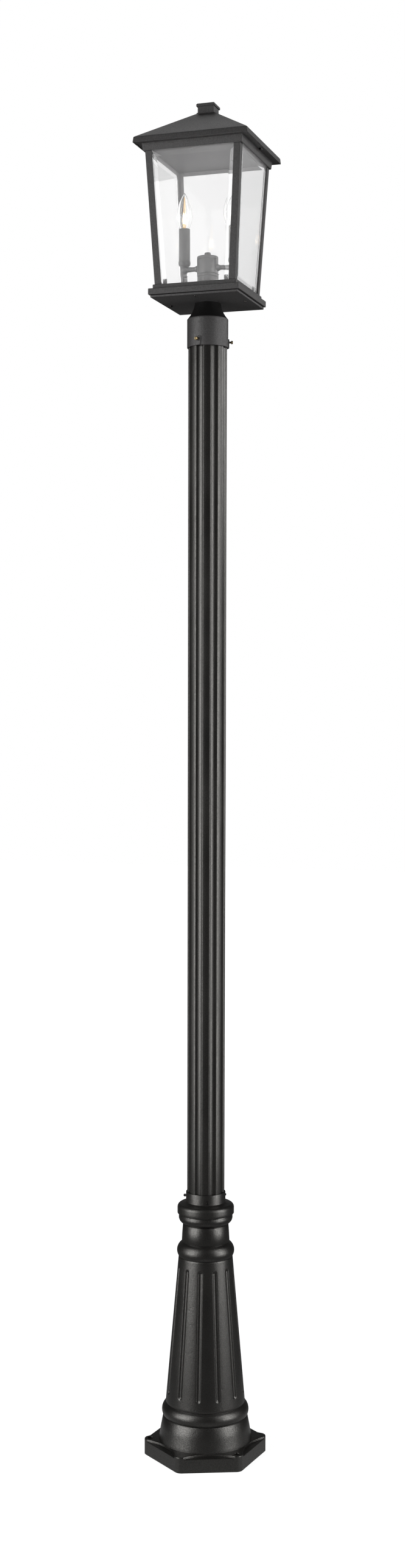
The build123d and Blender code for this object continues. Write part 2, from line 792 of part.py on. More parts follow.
# Arm: a tube with a conical collar against the hub
with BuildPart() as arm:
    with BuildSketch(Plane.YZ.offset(hub_r - hub_wall)):
        with Locations((0, arm_z)):
            Circle(arm_collar_r)
    extrude(amount=hub_wall)
    with BuildSketch(Plane.YZ.offset(hub_r)):
        with Locations((0, arm_z)):
            Circle(arm_collar_r)
    with BuildSketch(Plane.YZ.offset(hub_r + arm_collar_reach)):
        with Locations((0, arm_z)):
            Circle(arm_collar_tip_r)
    loft()
    with BuildSketch():
        Circle(hub_r + thread_gap / 2)
    extrude(amount=cap_nut_z, mode=Mode.SUBTRACT)
    with BuildSketch(Plane.YZ.offset(arm_start)):
        with Locations((0, arm_z)):
            Circle(arm_r)
    extrude(amount=arm_end - arm_start)
    with BuildSketch(Plane.YZ.offset(arm_start)):
        with Locations((0, arm_z)):
            Circle(arm_bore_r)
    extrude(amount=arm_end - arm_start, mode=Mode.SUBTRACT)

# Knuckle: a ball at the arm's end, bored for the arm and for the stem above it
with BuildPart() as knuckle:
    with Locations((lamp_reach, 0, arm_z)):
        Sphere(knuckle_r)
    with BuildSketch(Plane.YZ.offset(lamp_reach - knuckle_stub_reach)):
        with Locations((0, arm_z)):
            Circle(knuckle_stub_r)
    extrude(amount=knuckle_stub_reach)
    with BuildSketch(Plane.XY.offset(cup_z)):
        with Locations((lamp_reach, 0)):
            Circle(2 * knuckle_r)
    extrude(amount=knuckle_r, mode=Mode.SUBTRACT)
    with BuildSketch(Plane.YZ.offset(lamp_reach - knuckle_stub_reach)):
        with Locations((0, arm_z)):
            Circle(arm_r + thread_gap / 2)
    extrude(amount=arm_in_knuckle, mode=Mode.SUBTRACT)
    with BuildSketch(Plane.YZ.offset(lamp_reach - knuckle_stub_reach)):
        with Locations((0, arm_z)):
            Circle(arm_bore_r)
    extrude(amount=knuckle_stub_reach, mode=Mode.SUBTRACT)
    with BuildSketch(Plane.XY.offset(stem_z)):
        with Locations((lamp_reach, 0)):
            Circle(stem_r + thread_gap / 2)
    extrude(amount=knuckle_r, mode=Mode.SUBTRACT)
    with Locations((lamp_reach, 0, arm_z)):
        Sphere(arm_bore_r + thread_gap, mode=Mode.SUBTRACT)
    with BuildSketch(Plane.XY.offset(arm_z)):
        with Locations((lamp_reach, 0)):
            Circle(stem_bore_r)
    extrude(amount=knuckle_r, mode=Mode.SUBTRACT)

# Turned profiles of the lamp are drawn beside the lamp's own axis
lamp_axis = Axis((lamp_reach, 0, 0), (0, 0, 1))

# Cup under the candle sleeve
with BuildPart() as cup:
    with BuildSketch(Plane.XZ):
        with BuildLine():
            Polyline(
                (lamp_reach + stem_r + thread_gap, sleeve_z),
                (lamp_reach + stem_r + thread_gap, cup_z),
                (lamp_reach + cup_foot_r, cup_z),
                (lamp_reach + cup_foot_r, cup_z + cup_foot_height),
            )
            TangentArc(
                (lamp_reach + cup_foot_r, cup_z + cup_foot_height),
                (lamp_reach + cup_r, cup_top_z - cup_rim),
                tangent=cup_sweep,
            )
            Polyline(
                (lamp_reach + cup_r, cup_top_z - cup_rim),
                (lamp_reach + cup_r, cup_top_z),
                (lamp_reach + sleeve_r + thread_gap, cup_top_z),
                (lamp_reach + sleeve_r + thread_gap, sleeve_z),
                (lamp_reach + stem_r + thread_gap, sleeve_z),
            )
        make_face()
    revolve(axis=lamp_axis)

# Candle sleeve
with BuildPart() as sleeve:
    with BuildSketch(Plane.XY.offset(sleeve_z)):
        with Locations((lamp_reach, 0)):
            Circle(sleeve_r)
    extrude(amount=sleeve_height)
    fillet(sleeve.faces().sort_by(Axis.Z)[-1].edges(), sleeve_wall / 2)
    with BuildSketch(Plane.XY.offset(sleeve_z)):
        with Locations((lamp_reach, 0)):
            Circle(sleeve_r - sleeve_wall)
    extrude(amount=sleeve_height, mode=Mode.SUBTRACT)

# Threaded stem that holds the socket over the knuckle
stem_top_z = stem_z + stem_height
with BuildPart() as stem:
    with BuildSketch(Plane.XY.offset(stem_z)):
        with Locations((lamp_reach, 0)):
            Circle(stem_r)
            Circle(stem_bore_r, mode=Mode.SUBTRACT)
    extrude(amount=stem_height)

# Socket body, hollow for the bulb above and bored for the stem below
socket_r = sleeve_r - sleeve_wall - seat_gap
shell_r = bulb_shell_r + lamp_gap + shell_thick
with BuildPart() as socket:
    with BuildSketch(Plane.XY.offset(socket_z)):
        with Locations((lamp_reach, 0)):
            Circle(socket_r)
    extrude(amount=socket_height)
    with BuildSketch(Plane.XY.offset(socket_floor_z)):
        with Locations((lamp_reach, 0)):
            Circle(shell_r + thread_gap)
    extrude(amount=socket_bore_depth, mode=Mode.SUBTRACT)
    with BuildSketch(Plane.XY.offset(socket_z)):
        with Locations((lamp_reach, 0)):
            Circle(stem_r + thread_gap)
    extrude(amount=stem_top_z - socket_z, mode=Mode.SUBTRACT)
    with BuildSketch(Plane.XY.offset(socket_z)):
        with Locations((lamp_reach, 0)):
            Circle(stem_bore_r)
    extrude(amount=socket_floor_z - socket_z - socket_floor_thick, mode=Mode.SUBTRACT)

# Thin screw shell inside the socket
with BuildPart() as socket_shell:
    with BuildSketch(Plane.XY.offset(socket_top_z - shell_below_mouth - shell_height)):
        with Locations((lamp_reach, 0)):
            Circle(shell_r)
            Circle(shell_r - shell_thick, mode=Mode.SUBTRACT)
    extrude(amount=shell_height)

# Sprung contact leaf on the socket's floor
with BuildPart() as socket_contact:
    with BuildSketch(Plane.XZ.offset(-leaf_width / 2)):
        with BuildLine() as leaf_line:
            Polyline(
                (lamp_reach + leaf_width, socket_floor_z + leaf_thick / 2),
                (lamp_reach - leaf_width, socket_floor_z + leaf_thick / 2),
                (lamp_reach - leaf_width / 2, socket_floor_z + leaf_rise - leaf_thick / 2),
                (lamp_reach + leaf_width / 2, socket_floor_z + leaf_rise - leaf_thick / 2),
            )
            offset(amount=leaf_thick / 2, kind=Kind.INTERSECTION)
        make_face()
    extrude(amount=leaf_width)

# Bulb: screw shell with a rounded thread
thread_turns = int((bulb_shell_height - bulb_thread_bare) / bulb_thread_pitch)
thread_foot_z = bulb_shell_z + bulb_thread_rise
thread_reach = lamp_reach + bulb_shell_r + bulb_thread_pitch / 2 - bulb_thread_depth
with BuildPart() as bulb_shell:
    with BuildSketch(Plane.XY.offset(bulb_shell_z)):
        with Locations((lamp_reach, 0)):
            Circle(bulb_shell_r)
    extrude(amount=bulb_shell_height)
    fillet(bulb_shell.faces().sort_by(Axis.Z)[0].edges(), bulb_shell_wall)
    for i in range(thread_turns):
        groove_z = thread_foot_z + (i + 0.5) * bulb_thread_pitch
        with BuildSketch(Plane.XZ):
            with Locations((thread_reach, groove_z)):
                Circle(bulb_thread_pitch / 2)
        revolve(axis=lamp_axis, mode=Mode.SUBTRACT)
    with BuildSketch(Plane.XY.offset(bulb_shell_z + bulb_shell_wall)):
        with Locations((lamp_reach, 0)):
            Circle(bulb_neck_r + thread_gap / 2)
    extrude(amount=bulb_shell_height, mode=Mode.SUBTRACT)

# Bulb: insulator and contact button under the shell
with BuildPart() as bulb_contact:
    with BuildSketch(Plane.XY.offset(bulb_shell_z)):
        with Locations((lamp_reach, 0)):
            Circle(bulb_shell_r - bulb_shell_wall)
    with BuildSketch(Plane.XY.offset(bulb_tip_z)):
        with Locations((lamp_reach, 0)):
            Circle(bulb_solder_r)
    loft()
    with BuildSketch(Plane.XY.offset(bulb_button_z)):
        with Locations((lamp_reach, 0)):
            Circle(bulb_button_r)
    extrude(amount=bulb_button_height)
    fillet(bulb_contact.faces().sort_by(Axis.Z)[0].edges(), bulb_button_height / 2)

# Bulb: glass, a pointed torpedo on a narrow neck. The hollow inside has the same
# outline, drawn in by the glass, which is thicker at the tip.
bulb_foot_z = bulb_neck_z - bulb_neck_in_shell
bulb_tip_top_z = bulb_neck_z + bulb_length
neck_way = (0.2, 1)       # way the outline leaves the neck
tip_way = (-0.55, 1)      # and the way it reaches the tip
with BuildPart() as bulb_glass:
    for thick, tip_thick, mode in (
        (0, 0, Mode.ADD),
        (bulb_glass_thick, bulb_tip_thick, Mode.SUBTRACT),
    ):
        with BuildSketch(Plane.XZ):
            with BuildLine():
                Polyline(
                    (lamp_reach, bulb_tip_top_z - tip_thick),
                    (lamp_reach, bulb_foot_z + thick),
                    (lamp_reach + bulb_neck_r - thick, bulb_foot_z + thick),
                    (lamp_reach + bulb_neck_r - thick, bulb_neck_z + thick / 2),
                )
                Spline(
                    (lamp_reach + bulb_neck_r - thick, bulb_neck_z + thick / 2),
                    (lamp_reach + bulb_mouth_r - thick, bulb_neck_z + bulb_mouth + thick / 2),
                    (lamp_reach + bulb_r - thick, bulb_neck_z + bulb_belly),
                    (lamp_reach + bulb_r / 2 - thick, bulb_tip_top_z - bulb_r),
                    (lamp_reach, bulb_tip_top_z - tip_thick),
                    tangents=[neck_way, tip_way],
                )
            make_face()
        revolve(axis=lamp_axis, mode=mode)

# Bulb: glass mount that rises from the neck and holds the filament
mount_z = bulb_foot_z + bulb_glass_thick
mount_flare_r = bulb_neck_r - bulb_glass_thick - thread_gap
mount_top_z = mount_z + bulb_mount_height
with BuildPart() as bulb_mount:
    with BuildSketch(Plane.XY.offset(mount_z)):
        with Locations((lamp_reach, 0)):
            Circle(mount_flare_r)
    with BuildSketch(Plane.XY.offset(mount_z + mount_flare_r)):
        with Locations((lamp_reach, 0)):
            Circle(bulb_mount_r)
    loft()
    with BuildSketch(Plane.XY.offset(mount_z + mount_flare_r)):
        with Locations((lamp_reach, 0)):
            Circle(bulb_mount_r)
    extrude(amount=mount_top_z - mount_z - mount_flare_r)

# Bulb: filament, four strands up and down between two leads
lead_foot_z = mount_top_z + seat_gap
strand_foot_z = mount_top_z + filament_lead
strand_top_z = strand_foot_z + filament_height
with BuildPart() as bulb_filament:
    with BuildLine() as filament_line:
        FilletPolyline(
            (lamp_reach - bulb_mount_r / 2, 0, lead_foot_z),
            (lamp_reach - filament_half_width, 0, strand_foot_z),
            (lamp_reach - filament_half_width / 2, 0, strand_top_z),
            (lamp_reach, 0, strand_foot_z + filament_lead),
            (lamp_reach + filament_half_width / 2, 0, strand_top_z),
            (lamp_reach + filament_half_width, 0, strand_foot_z),
            (lamp_reach + bulb_mount_r / 2, 0, lead_foot_z),
            radius=2 * filament_r,
        )
    with BuildSketch(Plane(origin=filament_line.line @ 0, z_dir=filament_line.line % 0)):
        Circle(filament_r)
    sweep()

lamp_pieces = {
    "arm": arm,
    "knuckle": knuckle,
    "candle_cup": cup,
    "candle_sleeve": sleeve,
    "socket_stem": stem,
    "socket_body": socket,
    "socket_shell": socket_shell,
    "socket_contact": socket_contact,
    "bulb_shell": bulb_shell,
    "bulb_contact": bulb_contact,
    "bulb_glass": bulb_glass,
    "bulb_mount": bulb_mount,
    "bulb_filament": bulb_filament,
}
for piece_name, piece in lamp_pieces.items():
    for side, turn in (("right", 0), ("left", 180)):
        lamp_piece = piece.part.rotate(Axis.Z, turn)
        lamp_piece.label = side + "_" + piece_name
        export_step(lamp_piece, "parts/" + lamp_piece.label + ".step")

# Wire connectors lying in the wiring space, one each side of the tube
with BuildPart() as wire_connectors:
    for way in (1, -1):
        with BuildSketch(Plane.XZ.offset(way * connector_reach)):
            with Locations((0, connector_z)):
                Circle(connector_r)
        with BuildSketch(Plane.XZ.offset(way * (connector_reach + connector_length))):
            with Locations((0, connector_z)):
                Circle(connector_tip_r)
        loft()

wire_connectors.part.label = "wire_connectors"
export_step(wire_connectors.part, "parts/wire_connectors.step")

# Lamp leads: two wires from each socket, down the stem, along the arm and down
# the hub, then one to each connector
lead_top_z = socket_floor_z - socket_floor_thick
lead_end_y = connector_reach - seat_gap - wire_r
with BuildPart() as lamp_leads:
    for side in (1, -1):
        for way in (1, -1):
            wire_y = way * wire_side
            turn_x = side * wire_hole_reach
            with BuildLine() as lead_line:
                FilletPolyline(
                    (side * lamp_reach, wire_y, lead_top_z),
                    (side * lamp_reach, wire_y, arm_z),
                    (turn_x, wire_y, arm_z),
                    (turn_x, wire_y, connector_z),
                    (turn_x, way * connector_reach / 2, connector_z),
                    (side * wire_side, way * lead_end_y, connector_z),
                    radius=wire_bend_r,
                )
            with BuildSketch(Plane(origin=lead_line.line @ 0, z_dir=lead_line.line % 0)):
                Circle(wire_r)
            sweep(path=lead_line.line)

lamp_leads.part.label = "lamp_leads"
export_step(lamp_leads.part, "parts/lamp_leads.step")

# Corner angles, leaning outwards as they rise
angle_top_z = pan_z - seat_gap
with BuildPart() as corner_angle:
    for z in (tray_top_z, angle_top_z):
        half = cage_half(z)
        with BuildSketch(Plane.XY.offset(z)):
            with BuildLine():
                Polyline(
                    (half, -half),
                    (half, -half + angle_leg),
                    (half - angle_thick, -half + angle_leg),
                    (half - angle_thick, -half + angle_thick),
                    (half - angle_leg, -half + angle_thick),
                    (half - angle_leg, -half),
                    close=True,
                )
            make_face()
    loft(ruled=True)

for i, corner in enumerate(("front_right", "back_right", "back_left", "front_left")):
    corner_piece = corner_angle.part.rotate(Axis.Z, 90 * i)
    corner_piece.label = "corner_angle_" + corner
    export_step(corner_piece, "parts/" + corner_piece.label + ".step")

# Top frame: a band round the corners with a flange outwards under the roof
band_inner_half = cage_half(angle_top_z) + band_inner_gap
soffit_places = [(soffit_screw_reach, 0), (-soffit_screw_reach, 0)]
with BuildPart() as top_frame:
    with BuildSketch(Plane.XY.offset(band_z)):
        Rectangle(2 * band_foot_half, 2 * band_foot_half)
    with BuildSketch(Plane.XY.offset(flange_z)):
        Rectangle(2 * band_top_half, 2 * band_top_half)
    loft(ruled=True)
    with BuildSketch(Plane.XY.offset(flange_z)):
        Rectangle(2 * frame_flange_half, 2 * frame_flange_half)
    extrude(amount=frame_flange_thick)
    with BuildSketch(Plane.XY.offset(band_z)):
        Rectangle(2 * band_inner_half, 2 * band_inner_half)
    extrude(amount=band_height + frame_flange_thick, mode=Mode.SUBTRACT)
    with BuildSketch(Plane.XY.offset(flange_z)):
        with Locations(*soffit_places):
            Circle(soffit_screw_r + thread_gap)
    extrude(amount=frame_flange_thick, mode=Mode.SUBTRACT)

top_frame.part.label = "top_frame"
export_step(top_frame.part, "parts/top_frame.step")

# Bevelled pane, made for the front on a plane that leans with the cage
lean = math.radians(cage_tilt)
pane_foot_z = tray_floor_z + seat_gap
pane_top_z = pan_z - seat_gap
pane_reach = cage_half(pane_foot_z) - angle_thick - seat_gap
pane_plane = Plane(
    origin=(0, -pane_reach, pane_foot_z),
    x_dir=(1, 0, 0),
    z_dir=(0, -math.cos(lean), -math.sin(lean)),
)
pane_height = (pane_top_z - pane_foot_z) / math.cos(lean) - glass_thick * math.tan(lean)
pane_foot_width = pane_reach - glass_thick - seat_gap
pane_top_width = pane_foot_width + pane_height * math.sin(lean)


def pane_outline(inset):
    """Corners of the pane, drawn in from its edges."""
    return [
        (-pane_foot_width + inset, inset),
        (pane_foot_width - inset, inset),
        (pane_top_width - inset, pane_height - inset),
        (-pane_top_width + inset, pane_height - inset),
    ]


with BuildPart() as pane:
    with BuildSketch(pane_plane.offset(-glass_thick)):
        Polygon(*pane_outline(0), align=None)
    extrude(amount=glass_edge_thick)
    with BuildSketch(pane_plane.offset(glass_edge_thick - glass_thick)):
        Polygon(*pane_outline(0), align=None)
    with BuildSketch(pane_plane):
        Polygon(*pane_outline(bevel_width), align=None)
    loft(ruled=True)

for i, side in enumerate(("front", "right", "back", "left")):
    pane_piece = pane.part.rotate(Axis.Z, 90 * i)
    pane_piece.label = side + "_pane"
    export_step(pane_piece, "parts/" + pane_piece.label + ".step")

# Bent clips that hold each pane at its two lower corners
clip_plane = pane_plane.offset(-glass_thick - thread_gap - clip_thick)
clip_places = [
    (pane_foot_width - clip_inset - clip_width / 2, clip_height / 2),
    (-pane_foot_width + clip_inset + clip_width / 2, clip_height / 2),
]
with BuildPart() as front_clips:
    with BuildSketch(clip_plane):
        with Locations(*clip_places):
            Rectangle(clip_width, clip_height)
    extrude(amount=clip_thick)
    with BuildSketch(clip_plane):
        with Locations(*[(x, clip_thick / 2) for x, y in clip_places]):
            Rectangle(clip_width, clip_thick)
    extrude(amount=-clip_foot)

with BuildPart() as glass_clips:
    with PolarLocations(0, 4):
        add(front_clips.part)

glass_clips.part.label = "glass_clips"
export_step(glass_clips.part, "parts/glass_clips.step")

# Screws up through the frame's flange into the roof
with BuildPart() as soffit_screws:
    with BuildSketch(Plane.XY.offset(flange_z)):
        with Locations(*soffit_places):
            Circle(soffit_screw_r)
    extrude(amount=soffit_screw_length)
    with BuildSketch(Plane.XY.offset(flange_z)):
        with Locations(*soffit_places):
            Circle(soffit_head_r)
    extrude(amount=-soffit_head_height, taper=soffit_head_taper)
    with BuildSketch(Plane.XY.offset(flange_z - soffit_head_height)):
        with Locations(*soffit_places):
            Rectangle(slot_width, 2 * soffit_head_r)
    extrude(amount=slot_depth, mode=Mode.SUBTRACT)

soffit_screws.part.label = "soffit_screws"
export_step(soffit_screws.part, "parts/soffit_screws.step")

# Hollow under the roof, with a boss left standing over each soffit screw
boss_foot_z = pan_flange_z + pan_flange_thick
with BuildPart() as roof_hollow:
    with BuildSketch(Plane.XY.offset(fascia_z)):
        Rectangle(2 * (fascia_foot_half - roof_wall), 2 * (fascia_foot_half - roof_wall))
    with BuildSketch(Plane.XY.offset(eaves_z - roof_wall / 2)):
        Rectangle(2 * (fascia_top_half - roof_wall), 2 * (fascia_top_half - roof_wall))
    loft(ruled=True)
    with BuildSketch(Plane.XY.offset(eaves_z - roof_wall / 2)):
        Rectangle(2 * (fascia_top_half - roof_wall), 2 * (fascia_top_half - roof_wall))
    with BuildSketch(Plane.XY.offset(roof_top_z - roof_top_thick)):
        Rectangle(2 * (roof_top_half - roof_wall), 2 * (roof_top_half - roof_wall))
    loft(ruled=True)
    with BuildSketch(Plane.XY.offset(boss_foot_z)):
        with Locations(*soffit_places):
            Circle(roof_boss_r)
    extrude(amount=roof_rise, mode=Mode.SUBTRACT)

# Roof: four slopes over an upright fascia, cast in one piece
with BuildPart() as roof:
    with BuildSketch(Plane.XY.offset(fascia_z)):
        Rectangle(2 * fascia_foot_half, 2 * fascia_foot_half)
    with BuildSketch(Plane.XY.offset(eaves_z)):
        Rectangle(2 * fascia_top_half, 2 * fascia_top_half)
    loft(ruled=True)
    with BuildSketch(Plane.XY.offset(eaves_z)):
        Rectangle(2 * fascia_top_half, 2 * fascia_top_half)
    with BuildSketch(Plane.XY.offset(roof_top_z)):
        Rectangle(2 * roof_top_half, 2 * roof_top_half)
    loft(ruled=True)
    add(roof_hollow.part, mode=Mode.SUBTRACT)
    with BuildSketch(Plane.XY.offset(boss_foot_z)):
        with Locations(*soffit_places):
            Circle(soffit_screw_r + thread_gap)
    extrude(amount=soffit_screw_length, mode=Mode.SUBTRACT)
    with BuildSketch(Plane.XY.offset(roof_top_z - roof_top_thick)):
        Circle(finial_stud_r + thread_gap)
    extrude(amount=roof_top_thick, mode=Mode.SUBTRACT)

roof.part.label = "roof"
export_step(roof.part, "parts/roof.step")

# Ceiling pan, hung in the frame by its flange and clamped under the roof's bosses
pan_half = band_inner_half - pan_gap
with BuildPart() as ceiling_pan:
    with BuildSketch(Plane.XY.offset(pan_z)):
        Rectangle(2 * pan_half, 2 * pan_half)
    extrude(amount=pan_flange_z + pan_flange_thick - pan_z)
    with BuildSketch(Plane.XY.offset(pan_z + pan_thick)):
        Rectangle(2 * (pan_half - pan_thick), 2 * (pan_half - pan_thick))
    extrude(amount=pan_depth, mode=Mode.SUBTRACT)
    with BuildSketch(Plane.XY.offset(pan_flange_z)):
        Rectangle(2 * pan_flange_half, 2 * pan_flange_half)
        Rectangle(2 * (pan_half - pan_thick), 2 * (pan_half - pan_thick), mode=Mode.SUBTRACT)
        with Locations(*soffit_places):
            Circle(soffit_screw_r + thread_gap, mode=Mode.SUBTRACT)
    extrude(amount=pan_flange_thick)

ceiling_pan.part.label = "ceiling_pan"
export_step(ceiling_pan.part, "parts/ceiling_pan.step")

# Finial: a square neck with a foot below and a chamfered cap above
neck_z = roof_top_z + finial_foot_height
cap_z = neck_z + finial_neck_height
with BuildPart() as finial:
    with BuildSketch(Plane.XY.offset(roof_top_z)):
        Rectangle(2 * finial_foot_half, 2 * finial_foot_half)
    extrude(amount=finial_foot_height)
    with BuildSketch(Plane.XY.offset(neck_z)):
        Rectangle(2 * finial_neck_half, 2 * finial_neck_half)
    extrude(amount=finial_neck_height)
    with BuildSketch(Plane.XY.offset(cap_z)):
        Rectangle(2 * finial_cap_half, 2 * finial_cap_half)
    extrude(amount=finial_cap_height)
    chamfer(finial.faces().sort_by(Axis.Z)[-1].edges(), finial_cap_chamfer)
    with BuildSketch(Plane.XY.offset(roof_top_z)):
        Circle(finial_stud_r + thread_gap)
    extrude(amount=finial_stud_depth + thread_gap, mode=Mode.SUBTRACT)

finial.part.label = "finial"
export_step(finial.part, "parts/finial.step")

# Stud and nut that hold the finial down on the roof
with BuildPart() as finial_stud:
    with BuildSketch(Plane.XY.offset(roof_top_z - finial_stud_below)):
        Circle(finial_stud_r)
    extrude(amount=finial_stud_below + finial_stud_depth)

finial_stud.part.label = "finial_stud"
export_step(finial_stud.part, "parts/finial_stud.step")

with BuildPart() as finial_nut:
    with BuildSketch(Plane.XY.offset(roof_top_z - roof_top_thick - finial_nut_height)):
        RegularPolygon(finial_nut_flats / 2, 6, major_radius=False)
        Circle(finial_stud_r + thread_gap, mode=Mode.SUBTRACT)
    extrude(amount=finial_nut_height)

finial_nut.part.label = "finial_nut"
export_step(finial_nut.part, "parts/finial_nut.step")
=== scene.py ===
# %% [markdown]
# # A post light: one lantern with two candle lamps on a fluted post
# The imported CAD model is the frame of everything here. Every piece is made where
# the CAD says, in metres, with +Z up and the post on the Z axis. So nothing has to
# be fitted afterwards, and a piece can simply take the place of its CAD node.

# %% Load the frame
import json
import math

import bmesh
import bpy
import numpy as np
from mathutils import Matrix, Vector


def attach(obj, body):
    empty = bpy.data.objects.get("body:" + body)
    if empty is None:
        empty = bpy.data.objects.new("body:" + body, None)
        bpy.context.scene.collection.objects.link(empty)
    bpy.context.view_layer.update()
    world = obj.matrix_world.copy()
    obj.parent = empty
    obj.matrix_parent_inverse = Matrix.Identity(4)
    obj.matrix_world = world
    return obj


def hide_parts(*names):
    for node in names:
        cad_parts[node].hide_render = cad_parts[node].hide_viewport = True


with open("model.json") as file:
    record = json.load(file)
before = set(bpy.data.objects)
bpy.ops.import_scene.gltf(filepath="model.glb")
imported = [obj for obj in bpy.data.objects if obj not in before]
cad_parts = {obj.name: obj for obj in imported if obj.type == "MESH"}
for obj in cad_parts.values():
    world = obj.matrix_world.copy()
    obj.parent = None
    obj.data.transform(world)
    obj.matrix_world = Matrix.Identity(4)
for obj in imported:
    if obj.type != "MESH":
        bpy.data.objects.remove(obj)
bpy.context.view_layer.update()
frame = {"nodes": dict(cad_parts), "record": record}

MM = 0.001
body_of_node = {
    node: body for body, nodes in frame["record"]["behaviour"]["bodies"].items() for node in nodes
}


def link(name, data):
    """Make an object of a mesh, lamp or camera and put it in the scene."""
    made = bpy.data.objects.new(name, data)
    bpy.context.scene.collection.objects.link(made)
    return made


# %% [markdown]
# ## The camera
# The photograph was taken from a little to the right of the front, from about the
# height of a person's eyes, with the camera tipped slightly down. These numbers
# come from fitting the lantern's corners and the base's rings, so lengths in the
# render shrink and lean as they do in the photograph. Tipping the camera only a
# little and shifting the picture keeps the post upright, as a studio camera does.

# %% Place the camera
VIEW_AZIMUTH = math.radians(18.23)
VIEW_DISTANCE = 3.820
VIEW_HEIGHT = 1.533
VIEW_PITCH = math.radians(-5.21)
VIEW_YAW = math.radians(-0.12)
VIEW_ROLL = math.radians(0.12)
PICTURE_HEIGHT = 2576
FOCAL_PIXELS = 3125
CENTRE_ROW = 1450
SENSOR = 36


def swung(first, second, angle):
    """The first direction swung towards the second: first cos(angle) + second sin(angle)."""
    return first * math.cos(angle) + second * math.sin(angle)


up = Vector((0, 0, 1))
towards = Vector((-math.sin(VIEW_AZIMUTH), math.cos(VIEW_AZIMUTH), 0))
across = Vector((math.cos(VIEW_AZIMUTH), math.sin(VIEW_AZIMUTH), 0))
level, side = swung(towards, across, VIEW_YAW), swung(across, -towards, VIEW_YAW)
forward, head_up = swung(level, up, VIEW_PITCH), swung(up, -level, VIEW_PITCH)
right, above = swung(side, head_up, VIEW_ROLL), swung(head_up, -side, VIEW_ROLL)

camera_data = bpy.data.cameras.new("camera")
camera_data.sensor_width = SENSOR
camera_data.lens = SENSOR * FOCAL_PIXELS / PICTURE_HEIGHT
camera_data.shift_y = (CENTRE_ROW - PICTURE_HEIGHT / 2) / PICTURE_HEIGHT
camera = link("camera", camera_data)
turned_to = Matrix((right, above, -forward)).transposed().to_4x4()
camera.matrix_world = Matrix.Translation(-towards * VIEW_DISTANCE + up * VIEW_HEIGHT) @ turned_to
bpy.context.scene.camera = camera
bpy.context.scene.view_settings.view_transform = "Standard"
print("lens %.1f mm, shift %.3f" % (camera_data.lens, camera_data.shift_y))

# %% [markdown]
# ## Shader nodes in one line each
# Every finish below is a small graph of nodes. One helper makes a node, sets its
# numbers and joins its sockets, and the others are shorthand for the nodes that
# come back often, so a finish reads as a list of what it mixes.

# %% Helpers for shader nodes
def add(tree, kind, inputs=None, **settings):
    """Make one node. Settings are its properties; inputs are numbers, or sockets to join."""
    made = tree.nodes.new(kind)
    for name, value in settings.items():
        setattr(made, name, value)
    for name, value in (inputs or {}).items():
        if isinstance(value, bpy.types.NodeSocket):
            tree.links.new(value, made.inputs[name])
        else:
            made.inputs[name].default_value = value
    return made


def blend_colours(tree, share, first, second):
    """Colour part way from the first to the second."""
    mixed = add(tree, "ShaderNodeMix", {0: share, 6: first, 7: second}, data_type="RGBA")
    return mixed.outputs[2]


def blend_numbers(tree, share, first, second):
    """Number part way from the first to the second."""
    return add(tree, "ShaderNodeMix", {0: share, 2: first, 3: second}).outputs[0]


def remap(tree, value, low, high, new_low, new_high, curve="LINEAR"):
    """Stretch the range low..high to new_low..new_high, held at both ends."""
    stretched = add(tree, "ShaderNodeMapRange", {
        "Value": value, "From Min": low, "From Max": high, "To Min": new_low, "To Max": new_high,
    }, interpolation_type=curve)
    return stretched.outputs["Result"]


def reckon(tree, operation, *numbers):
    """Do one sum, such as ADD or MAXIMUM, on numbers or sockets."""
    return add(tree, "ShaderNodeMath", dict(enumerate(numbers)), operation=operation).outputs["Value"]


def ramp(tree, value, *stops):
    """Run through the colours of the stops (position, colour), lowest position first."""
    made = add(tree, "ShaderNodeValToRGB", {"Fac": value})
    ends = made.color_ramp.elements
    ends[0].position, ends[1].position = stops[0][0], stops[-1][0]
    ends[0].color, ends[1].color = stops[0][1], stops[-1][1]
    for position, colour in stops[1:-1]:
        made.color_ramp.elements.new(position).color = colour
    return made.outputs["Color"]


def noise(tree, place, scale, detail, **more):
    """Cloudy pattern between 0 and 1, with about scale clouds to the metre."""
    inputs = {"Vector": place, "Scale": scale, "Detail": detail, **more}
    return add(tree, "ShaderNodeTexNoise", inputs).outputs["Fac"]


def bump(tree, height, strength, distance, **more):
    """Shade as if the surface rose by distance, in metres, where height is 1."""
    inputs = {"Height": height, "Strength": strength, "Distance": distance, **more}
    return add(tree, "ShaderNodeBump", inputs).outputs["Normal"]


def grey(share):
    """The same share of red, green and blue."""
    return (share, share, share, 1)


def tinted(colour, factor=1, lift=0):
    """A colour made lighter or darker: each part times factor, plus lift."""
    return (*[part * factor + lift for part in colour], 1)


def new_finish(name):
    """Return a material, its empty node tree and the Object coordinates to draw on."""
    material = bpy.data.materials.new(name)
    material.use_nodes = True
    material.node_tree.nodes.clear()
    place = add(material.node_tree, "ShaderNodeTexCoord").outputs["Object"]
    return material, material.node_tree, place


def show(tree, shader):
    """Put a shader on the surface and return the output node."""
    return add(tree, "ShaderNodeOutputMaterial", {"Surface": shader.outputs[0]})


def ray_kinds(tree):
    """Two numbers: 1 for rays from the camera, straight or by way of glass, and 1 for
    rays that a glossy surface sends out."""
    rays = add(tree, "ShaderNodeLightPath").outputs
    return reckon(tree, "MAXIMUM", rays["Is Camera Ray"], rays["Is Transmission Ray"]), rays["Is Glossy Ray"]


# %% [markdown]
# ## The studio
# The background of the photograph is plain white. Rays that come straight from the
# camera, or by way of glass, find a white world of strength 1, while the light that
# falls on the object stays at a plain level. Gloss doesn't find that white. It finds
# a dark room, a little lighter only towards the backdrop, and that is what gives a
# black glossy post its dark middle and edges. The levels are tuned to the photograph.

